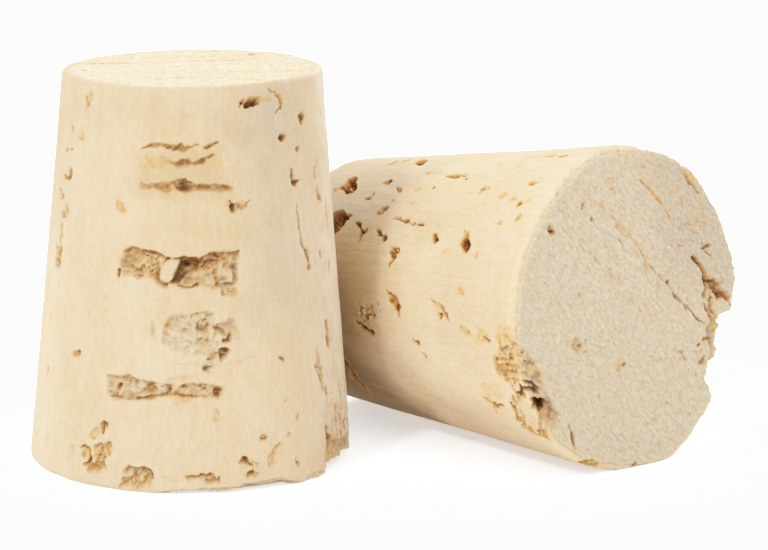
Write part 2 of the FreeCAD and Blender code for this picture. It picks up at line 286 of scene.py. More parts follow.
UPRIGHT_FEATURES = [
    # Three slits one under another on the front.
    crack([(-18, 24.75), (-12, 24.85), (-5, 24.8), (0, 24.75), (6, 24.95)], 0.34, 0.3, 0.34, swell=0.5),
    pit((-4, 24.85), (0.9, 0.4), 0.4, 0.58),
    crack([(9, 24.8), (12, 25), (14, 25.2)], 0.34, 0.3, 0.4),
    patch([(-19, 24), (-9, 24.1), (-7, 23.6), (-10, 23.3), (-18, 23.35)], 0.12, 0.22, wall=0.3),
    crack([(-8, 23.85), (-4, 23.6), (2, 23.65), (8, 23.75), (12.5, 24.2)], 0.36, 0.35, 0.4, swell=0.5),
    pit((1, 23.62), (1, 0.35), 0.35, 0.52),
    patch([(11, 24.1), (15, 24.2), (15.5, 23.5), (11.5, 23.4)], 0.06, 0.16, wall=0.3),
    patch([(-18, 22.2), (-6, 22.3), (6, 22.2), (19, 22), (20, 21.6), (8, 21.75), (-8, 21.75), (-17, 21.85)],
          0.3, 0.28, jag=0.12),
    crack([(-17, 22), (-10, 22), (-1, 22.05), (8, 22), (14, 21.9), (20, 21.8)], 0.34, 0.4, 0.42, swell=0.5),
    pit((-0.8, 22.15), (1.5, 0.6), 0.55, 0.5, jag=0.2),
    pit((-0.8, 22), (0.8, 0.35), 0.7, 0.85, jag=0.2),
    pit((21.4, 20.65), (1.6, 0.75), 0.35, 0.36, jag=0.15),
    pit((19.8, 20.6), (0.6, 0.7), 0.5, 0.75),
    # Stained spots that hardly open.
    patch([(-29, 20.75), (-25, 20.75), (-24.7, 20.1), (-28.7, 20.1)], 0.06, 0.26, wall=0.3),
    patch([(-1.5, 27.2), (4.5, 27.2), (4.5, 26.8), (-1.5, 26.8)], 0.04, 0.16, wall=0.3),
    pit((-25, 22.3), (0.8, 0.5), 0.05, 0.12),
    pit((-23, 21.5), (0.4, 0.3), 0.05, 0.14),
    # The gouge across the middle, with the wedge and the crumbs that stayed in it.
    patch([(-25, 17.1), (-17.6, 17.4), (-11.8, 17.25), (-6.8, 16.9), (3.5, 16.95), (6.3, 16.75), (11.8, 17.4),
           (21.6, 17.45), (20.9, 14.9), (13, 14.9), (6.3, 15.1), (2.2, 14.9), (-6, 15.2), (-13.6, 15.55),
           (-24, 15.45), (-25.8, 16.1)], 0.35, 0.2, wall=0.25, rough=0.9),
    patch([(-25, 17.1), (-15, 17.4), (-12, 16.4), (-16, 15.9), (-25.5, 16.2)], 0.4, 0.24, rough=0.8),
    crack([(-24, 17.2), (-17.6, 17.35), (-11.8, 17.2), (-6.5, 16.85)], 0.34, 0.45, 0.42, swell=0.5),
    crack([(-8.5, 16.9), (-2, 16.95), (4, 16.95), (6.4, 16.75), (9, 17), (12, 17.35), (17, 17.4),
           (21.5, 17.4)], 0.3, 0.6, 0.6, swell=0.5),
    patch([(-1.3, 16.9), (4.9, 16.9), (6.5, 16.6), (5.2, 16), (2.2, 15.85), (-1.9, 15.15), (-5, 15.2),
           (-1.9, 16.3)], 1.2, 0.5, wall=0.15, jag=0.06),
    pit((1.4, 16.6), (1.1, 0.5), 1.3, 0.72, jag=0.15),
    patch([(-4.4, 15.7), (-1.2, 16.6), (-0.4, 16.3), (-2.4, 15.2), (-4.8, 15.2)], 1.3, 0.62, wall=0.15,
          rough=0.1),
    patch([(6, 16.75), (9, 17.05), (16, 17.4), (21.4, 17.4), (18.8, 17), (14.5, 16.6), (10.4, 16.1),
           (4.9, 16.1)], 0.6, 0.36, rough=0.9),
    chip([(4.2, 15.95), (11.7, 15.9), (12.4, 15.1), (4.4, 15.15)], 0.25, 0.17, rough=0.2),
    chip([(13.2, 16.5), (19.6, 16.7), (19.4, 15.2), (13.8, 15.2)], 0.3, 0.13, rough=0.25),
    crack([(11.5, 16.3), (12.6, 15.6), (12.8, 14.9)], 0.2, 0.35, 0.3),
    crack([(-4.9, 15.15), (-1.8, 14.95), (2.2, 14.9), (5.5, 15.1)], 0.28, 0.5, 0.6),
    crack([(-13, 16.9), (-13.6, 16.2), (-13, 15.6)], 0.25, 0.3, 0.35),
    crack([(-12, 15.6), (-10.5, 15.9), (-9.6, 15.6), (-9.3, 15.2)], 0.28, 0.4, 0.45),
    patch([(-10.5, 16.6), (-9.3, 16.6), (-9, 15.5), (-6, 15.1), (-6.4, 14.95), (-11.6, 15.4)], 0.5, 0.3,
          rough=0.8),
    chip([(-6.4, 16.82), (-1.7, 16.9), (-1.9, 16.5), (-4.2, 15.45), (-5.9, 15.15), (-9, 15.4), (-9.4, 15.95)],
         -0.05, 0.08, slope=(-0.15, 0.05), rough=0.06),
    crack([(11.7, 15), (15.6, 14.85), (15.8, 14.35), (20.5, 14.3)], 0.16, 0.2, 0.3, swell=0.4),
    patch([(16, 14.85), (20.6, 14.9), (20.6, 14.3), (16, 14.3)], 0.15, 0.22, rough=0.8),
    crack([(-25.5, 15.4), (-25.5, 16)], 0.24, 0.4, 0.85),
    # The pale crumbled patch under it.
    patch([(-5.7, 12.4), (-3.6, 12.85), (3.8, 13), (10.5, 13), (11.2, 12), (12, 10.8), (10.4, 10.1),
           (4.9, 10.2), (-2.8, 10.4), (-7, 10.9)], 0.26, 0.05, wall=0.4, jag=0.15, rough=0.6),
    patch([(4.4, 12.6), (10.4, 12.6), (9.4, 10.4), (6.4, 10.2)], 0.4, 0.12, wall=0.35, jag=0.2, rough=0.8),
    crack([(-11.5, 12.5), (-10.4, 11.7), (-10.3, 10.9)], 0.3, 0.14, 0.12, swell=0.4),
    crack([(-4.5, 12.8), (-5.7, 12.2), (-6, 11.3), (-7.6, 10.8)], 0.4, 0.32, 0.18, swell=0.4),
    crack([(3.6, 12.5), (4.2, 12.95), (7.7, 13.15), (10.4, 12.9)], 0.26, 0.25, 0.2, swell=0.4),
    crack([(-5, 11.9), (0, 11.8), (4, 11.75)], 0.25, 0.2, 0.14),
    pit((-3.4, 12.3), (0.9, 1), 0.3, 0.14),
    pit((7.4, 12), (0.9, 0.6), 0.35, 0.3, jag=0.2),
    pit((8.8, 11.2), (0.5, 0.8), 0.3, 0.25, jag=0.2),
    pit((12, 11.5), (0.5, 1.2), 0.25, 0.16, jag=0.2),
    pit((9.5, 10.4), (1, 0.5), 0.25, 0.14, jag=0.2),
    patch([(13, 12.3), (19.8, 12.6), (20.6, 11.6), (17.5, 11.4), (14.4, 11.8)], 0.55, 0.1, wall=0.7,
          rough=0.2),
    chip([(11, 12.75), (16.6, 12.9), (16.4, 12.5), (12, 12.25)], -0.12, 0),
    crack([(11.2, 12.2), (12.4, 12), (14.2, 11.8), (15.4, 11.4)], 0.3, 0.45, 0.4, swell=0.4),
    crack([(14.4, 11.2), (15.4, 11.05), (17.4, 11.15), (17.9, 11.6)], 0.3, 0.45, 0.5, swell=0.4),
    chip([(17.9, 11.3), (21.2, 11.3), (21.3, 10.5), (18.6, 10.6)], -0.1, 0),
    patch([(13.6, 10.5), (17.9, 10.4), (15.8, 9.85), (14, 9.5)], 0.7, 0.4, jag=0.1, rough=0.8),
    patch([(7.5, 9.9), (12.5, 10.4), (13, 9.4), (8.5, 9.1)], 0.3, 0.1, wall=0.3, jag=0.2, rough=1.2),
    pit((11.5, 9.9), (0.7, 0.6), 0.3, 0.2, jag=0.2),
    lump((19, 9.75), (4.4, 0.5), 0.12, lean=8),
    lump((2, 9.8), (2, 1.2), 0.14, lean=20),
    lump((-2.5, 10.4), (1.4, 0.9), 0.1),
    # The lower gouge.
    patch([(-28.6, 8.15), (-21.2, 8.32), (-13, 8.05), (-6, 8), (7.6, 8.03), (14.8, 7.75), (14.6, 7.1),
           (10.3, 6.95), (-1.9, 7.2), (-12.9, 6.85), (-20, 6.55), (-26.2, 6.6), (-28, 6.95)], 0.32, 0.15,
          rough=0.65),
    patch([(-6.2, 8), (-4.2, 8.5), (1, 8.7), (5.2, 8.5), (7.8, 8)], 0.12, 0.12, wall=0.4),
    crack([(-28.6, 8.1), (-24.5, 8.05), (-21.2, 8.3), (-17, 8.15)], 0.2, 0.25, 0.35),
    crack([(-27, 6.75), (-20, 6.6), (-12.9, 6.85), (-7.3, 7.05), (-1.9, 7.25), (4.2, 7.1), (9, 7)], 0.18, 0.4,
          0.55, wander=0.06),
    pit((-24.1, 7.5), (0.5, 0.55), 0.45, 0.5),
    pit((-26, 6.9), (0.6, 0.25), 0.35, 0.6),
    pit((-11.7, 7.6), (0.45, 0.7), 0.5, 0.55, lean=-25, jag=0.2),
    pit((-4.6, 7.6), (0.4, 0.55), 0.55, 0.6),
    pit((0.2, 7.7), (0.7, 0.35), 0.45, 0.45),
    pit((8, 7.7), (0.5, 0.4), 0.4, 0.45),
    pit((12.3, 7.4), (0.55, 0.6), 0.55, 0.6),
    lump((-17.5, 7.5), (1.5, 0.8), 0.2),
    lump((-8, 7.6), (0.9, 0.7), 0.2),
    patch([(-3.6, 6.95), (-0.5, 6.35), (3.4, 6.75), (4.2, 7)], 0.16, 0.17, wall=0.3),
    # Towards the bottom.
    crack([(-29, 4.8), (-29.2, 4.5), (-29.8, 4)], 0.3, 0.4, 0.75),
    patch([(-35.6, 3.6), (-32.2, 4.3), (-31.2, 4), (-33.6, 3.3)], 0.12, 0.26),
    crack([(-44.6, 1.5), (-44.3, 2.1), (-42.6, 2.6)], 0.3, 0.12, 0.2),
    crack([(-39.2, 2.65), (-37, 2.8), (-35, 2.45), (-34.2, 1.9), (-35.4, 1.5), (-37.5, 1.45)], 0.26, 0.4,
          0.65, wander=0.06, swell=0.5),
    pit((-37.2, 2.2), (0.7, 0.6), 0.1, 0.34),
    patch([(-33.4, 2.9), (-29, 3.2), (-26.3, 3.4), (-25.4, 2.7), (-28, 2.1), (-30.1, 1.9), (-33.4, 2.1)], 0.4,
          0.27, wall=0.3, rough=1),
    patch([(-36, 1.4), (-33, 1.8), (-31.8, 2.3), (-29.4, 2.1), (-28.1, 1.4), (-31, 1), (-34.5, 0.8)], 0.4,
          0.3, jag=0.18, rough=0.8),
    *on("rim", patch([(-22, 0.2), (-20.4, 1.35), (-18.9, 1.8), (-13.8, 1.85), (-11.5, 1.6), (-9.7, 1.15),
                      (-10.9, 0.4), (-14, 0.1)], 0.42, 0.24, rough=0.8, wall=0.3)),
    crack([(-17.5, 1.7), (-16.2, 1.3), (-16.6, 0.7)], 0.25, 0.5, 0.4),
    pit((-12.2, 1.4), (0.7, 0.5), 0.45, 0.6),
    pit((-10.2, 1.1), (0.4, 0.4), 0.4, 0.6),
    patch([(-7, 1.3), (-1, 1.35), (0, 0.9), (-7, 0.8)], 0.1, 0.12, wall=0.4),
    crack([(1, 1.25), (4, 1.15), (7, 1.3), (12, 1.1)], 0.28, 0.4, 0.5),
    pit((9.5, 1.15), (1.5, 0.8), 0.45, 0.36, jag=0.2),
    crack([(21.4, 2.6), (23.2, 2.3), (25, 1.95)], 0.45, 0.5, 0.75),
    pit((22.2, 2.4), (0.7, 0.5), 0.5, 0.85),
    pit((24.6, 1.2), (1, 0.55), 0.5, 0.65, lean=15),
    patch([(25, 2.1), (27.5, 1.9), (28.4, 1.1), (26.4, 0.9)], 0.2, 0.14, rough=0.8),
    crack([(32, 1.6), (34, 2.4), (36.5, 3.2)], 0.4, 0.15, 0.28),
    pit((33, 2), (0.8, 0.8), 0.15, 0.26, jag=0.2),
    pit((29.7, 3.8), (0.5, 0.4), 0.3, 0.45),
    pit((40.5, 3.8), (0.35, 0.35), 0.15, 0.35),
    pit((45, 4.9), (0.3, 0.5), 0.1, 0.3),
    crack([(43.6, 2), (43.8, 1.2)], 0.2, 0.2, 0.4),
    pit((12, 5.6), (0.4, 0.8), 0.08, 0.22),
    # The rim is worn away a little at the front right, and broken out at the right.
    *on("rim",
        patch([(-8, 0), (6, 0.35), (30, 0.4), (37, 0.25), (42, 0), (40, -1.2), (0, -1.2)], 0.4, 0.04,
              wall=0.3, jag=0.05),
        patch([(61, 5), (61.4, 3.2), (60.4, 2), (59.8, 0.8), (58.5, -0.8), (70, -1.8), (90, -1.6), (99, -0.5),
               (96, 1.6), (92, 3.8), (84, 3.2), (77, 5.4), (70, 4), (65, 5.6)], 0.13, 0.1, wall=1.3, jag=0.4,
              rough=0.9),
        patch([(61.4, 1.7), (59.2, -1), (72, -2), (90, -1.8), (96, 0.6), (88, 1.7), (78, 1.7), (68, 2.1)],
              0.8, 0.2, wall=1.1, jag=0.06, rough=0.25)),
    pit((63.4, 1.9), (1.1, 1.8), 0.8, 0.55, jag=0.3),
    crack([(61.6, 3.6), (62.4, 2.8), (62.2, 1.8), (61.6, 0.7)], 0.5, 1, 0.4, swell=0.4),
    crack([(66, 3.6), (67, 2.8), (66.4, 1.8), (67.2, 1)], 0.26, 0.5, 0.25),
    crack([(71.5, 5.4), (72, 4.2), (73.5, 2.8), (73, 1.6)], 0.24, 0.35, 0.25),
    crack([(79, 6.5), (80, 4.8), (81, 3.4)], 0.26, 0.2, 0.2),
    crack([(67.4, 7.6), (68, 6.2), (67.6, 4.8)], 0.24, 0.12, 0.24),
    crack([(69.4, 4.8), (70.4, 3.4), (69.8, 2)], 0.36, 0.2, 0.4),
    crack([(74.6, 4.4), (75.6, 3), (75, 1.8)], 0.36, 0.2, 0.45),
    crack([(80.4, 3.6), (81, 2.6), (80.6, 1.6)], 0.36, 0.2, 0.4),
    crack([(71, 8.4), (71.8, 6.8), (71.2, 5.6)], 0.24, 0.12, 0.26),
    crack([(75.4, 7.4), (76, 5.4), (75.4, 3.4)], 0.3, 0.16, 0.34),
    crack([(84, 7.2), (85, 5), (84.4, 2.8)], 0.3, 0.12, 0.28),
    *on("rim",
        patch([(47, 0), (50, 0.35), (57, 0.5), (59, 0.2), (58, -0.8), (48, -0.8)], 0.15, 0.13, rough=0.8),
        patch([(17, 0), (22, 0.5), (36, 0.6), (43, 0.1), (40, -1.2), (18, -1.2)], 0.55, 0.04, wall=0.4,
              jag=0.05, rough=0.2)),
    # Right flank.
    pit((28.8, 27.8), (1.5, 0.6), 0.7, 0.95, lean=8),
    crack([(37.5, 28.6), (41, 28.4), (44, 27.8), (44, 27.2), (41.5, 27)], 0.26, 0.3, 0.5, swell=0.5),
    pit((36.5, 27.9), (0.7, 0.4), 0.1, 0.22),
    patch([(54.5, 26.3), (57.5, 26.6), (58.5, 26.2), (57.4, 25.6), (55.4, 25.8)], 0.45, 0.6),
    pit((44, 25), (0.5, 0.5), 0.45, 0.65),
    pit((53.6, 24), (0.7, 0.4), 0.3, 0.4),
    crack([(48.5, 22.8), (49.3, 22.1), (50, 21.8), (53, 21.85)], 0.32, 0.4, 0.6),
    crack([(67, 23.2), (66, 22.6), (64, 22.4), (64, 21.6)], 0.22, 0.2, 0.32),
    crack([(65.5, 20.9), (67, 20.3), (69.5, 19.9)], 0.4, 0.3, 0.4),
    crack([(50.6, 20.3), (51.4, 18.8), (52.3, 17.4), (54.5, 16.6), (56, 15.3)], 0.18, 0.2, 0.3, wander=0.06,
          swell=0.4),
    crack([(54.2, 16.9), (55.6, 16), (56.2, 15.2)], 0.36, 0.35, 0.5),
    pit((65.4, 16.2), (0.35, 0.45), 0.2, 0.4),
    pit((73.9, 14.8), (0.5, 1), 0.3, 0.4),
    pit((65.3, 12.7), (0.3, 0.8), 0.08, 0.18),
    patch([(65, 11.2), (67.5, 11.1), (68, 9.6), (67.4, 9.2), (66.4, 9.8)], 0.45, 0.5, jag=0.08),
    crack([(66.4, 11.1), (66, 10), (66.9, 9.2)], 0.3, 0.5, 0.75),
    patch([(57.5, 9.7), (59.4, 9.6), (59.4, 8.8), (61, 7.4), (60.2, 6.2), (58.6, 7), (56.8, 7.6),
           (56.4, 8.6)], 0.2, 0.2, rough=0.9, jag=0.15),
    crack([(56.4, 8.4), (57.4, 7.4), (59.6, 6.6)], 0.3, 0.25, 0.34),
    crack([(62.8, 6.6), (63.8, 5.9)], 0.35, 0.25, 0.4),
    crack([(36.6, 9.6), (38.2, 9.45), (39.4, 9.1)], 0.24, 0.25, 0.45),
    pit((40, 6.3), (0.3, 0.3), 0.1, 0.25),
    crack([(75, 20), (75.5, 18.2), (75, 17)], 0.25, 0.12, 0.25),
    crack([(76, 26.5), (76.5, 24.5)], 0.22, 0.1, 0.25),
    # Left flank.
    patch([(-49, 28), (-46, 28.3), (-45.4, 27.8), (-47.4, 27.1), (-48.6, 26.9)], 0.12, 0.34, wall=0.25),
    pit((-58.4, 25.5), (0.45, 0.8), 0.3, 0.45),
    pit((-50.5, 25), (0.7, 0.8), 0.1, 0.26),
    pit((-62, 23.7), (0.7, 0.35), 0.15, 0.4),
    pit((-58, 23.8), (0.4, 0.3), 0.15, 0.3),
    crack([(-62.5, 21.75), (-59.5, 21.6), (-57.5, 21.95), (-56.8, 22.5)], 0.32, 0.35, 0.6),
    crack([(-67, 20.5), (-64, 20.2), (-61.5, 20.4)], 0.3, 0.15, 0.3),
    pit((-57.6, 19.5), (0.5, 0.9), 0.25, 0.4, lean=20),
    pit((-60.5, 18.9), (0.7, 0.5), 0.15, 0.3),
    crack([(-60.8, 18.2), (-61.6, 17.2), (-61, 16.4)], 0.4, 0.35, 0.45, wander=0.2),
    patch([(-65, 16.5), (-60, 16.4), (-58.4, 15.6), (-60, 14.9), (-64.4, 15)], 0.2, 0.26, jag=0.2, rough=0.9),
    crack([(-66, 15.6), (-62.4, 15.2), (-60, 15.8)], 0.3, 0.3, 0.42),
    crack([(-71.5, 13.2), (-71.8, 12)], 0.3, 0.15, 0.3),
    crack([(-65, 11.6), (-64, 10.2)], 0.3, 0.06, 0.16),
    pit((-30.8, 12.8), (0.5, 0.4), 0.08, 0.2),
    pit((-31, 13.9), (0.4, 0.6), 0.05, 0.1),
    pit((-44.9, 9.25), (1.1, 0.6), 0.25, 0.34),
    pit((-43.6, 9.4), (0.45, 0.45), 0.45, 0.8),
    crack([(-63.8, 7.6), (-64.2, 6.7)], 0.3, 0.15, 0.28),
    pit((-39, 12.2), (0.2, 0.5), 0.05, 0.14),
    pit((-59, 2.2), (0.35, 0.4), 0.1, 0.26),
    # The small end, seen from above.
    *on("small",
        crack([(-9, 1.8), (-7.6, 1.95), (-6, 2.1), (-4.4, 2.3)], 0.34, 0.1, 0.52, wander=0.04, swell=0.4),
        crack([(-4.4, 2.3), (-2, 2.7), (0.6, 3.3), (4, 3.6), (7, 4.3)], 0.3, 0.06, 0.34, wander=0.1),
        crack([(-3.2, -4.8), (-1, -4.75), (1.1, -5)], 0.34, 0.06, 0.36, wander=0.04, swell=0.4),
        crack([(1.1, -5), (3.7, -5.4), (6.4, -6.6)], 0.4, 0.08, 0.38, wander=0.04, swell=0.4),
        crack([(-7, -1.8), (-3, -1.4), (2, -1.2), (7, -0.6)], 0.2, 0.05, 0.13, wander=0.1),
        crack([(-6, 4.9), (-1, 5.4), (5, 6.1)], 0.22, 0.06, 0.2, wander=0.1),
        crack([(-4, 7.6), (0, 7.7), (3.4, 8)], 0.25, 0.06, 0.2, wander=0.15),
        crack([(2, 1.3), (5, 1.4), (8.6, 2.2)], 0.2, 0.05, 0.16, wander=0.15),
        pit((-7.9, -1.5), (0.25, 0.5), 0.35, 0.85),
        pit((4.1, 6.3), (0.45, 0.8), 0.3, 0.6),
        pit((7.2, 5.8), (0.4, 0.6), 0.3, 0.6),
        pit((8.1, 4.7), (0.3, 0.5), 0.25, 0.5),
        pit((-2, 6.6), (0.3, 0.6), 0.25, 0.3),
        pit((1.5, 7), (0.3, 0.5), 0.25, 0.3)),
    # Broad soft patches that make the colour lighter, darker, greyer or warmer: mostly painted light and
    # shade where the light falls unevenly.
    # Painted shade: darker and warmer across the upper middle of the front, away from the light on the left.
    tint([(-14, 27), (30, 27), (26, 14), (-8, 13), (-12, 20)], (0.94, 0.92, 0.88), 6),
    # Darker and warmer across the band of slits.
    tint([(-21, 24.4), (14, 24.6), (21, 21.1), (-20, 21.3)], (0.9, 0.86, 0.79), 1.4),
    # Painted shade: greyer and darker on the upper right flank.
    tint([(26, 29.5), (50, 29.5), (50, 12), (26, 12)], (0.87, 0.9, 0.95), 5),
    # Painted light: much paler and bluer at the right edge, as if lit from behind on the right.
    tint([(72, 30), (110, 30), (110, -1), (72, -1)], (1.3, 1.4, 1.6), 5),
    # Painted light: paler down the lower left flank, where the key light falls.
    tint([(-60, 17), (-110, 17), (-110, -5), (-50, -5)], (1.13, 1.15, 1.19), 5),
    # Painted shade: a little greyer and darker near the top on the right.
    tint([(16, 29), (56, 29), (56, 25), (16, 25)], (0.92, 0.93, 0.96), 3),
    # Painted shade: a little darker along the top of the front and the left.
    tint([(-62, 29), (16, 29), (16, 26), (-62, 26)], (0.95, 0.945, 0.94), 3),
    # Painted light: paler and bluer low on the right flank.
    tint([(53, 21), (76, 21), (76, 3), (53, 3)], (1.08, 1.13, 1.24), 5),
]

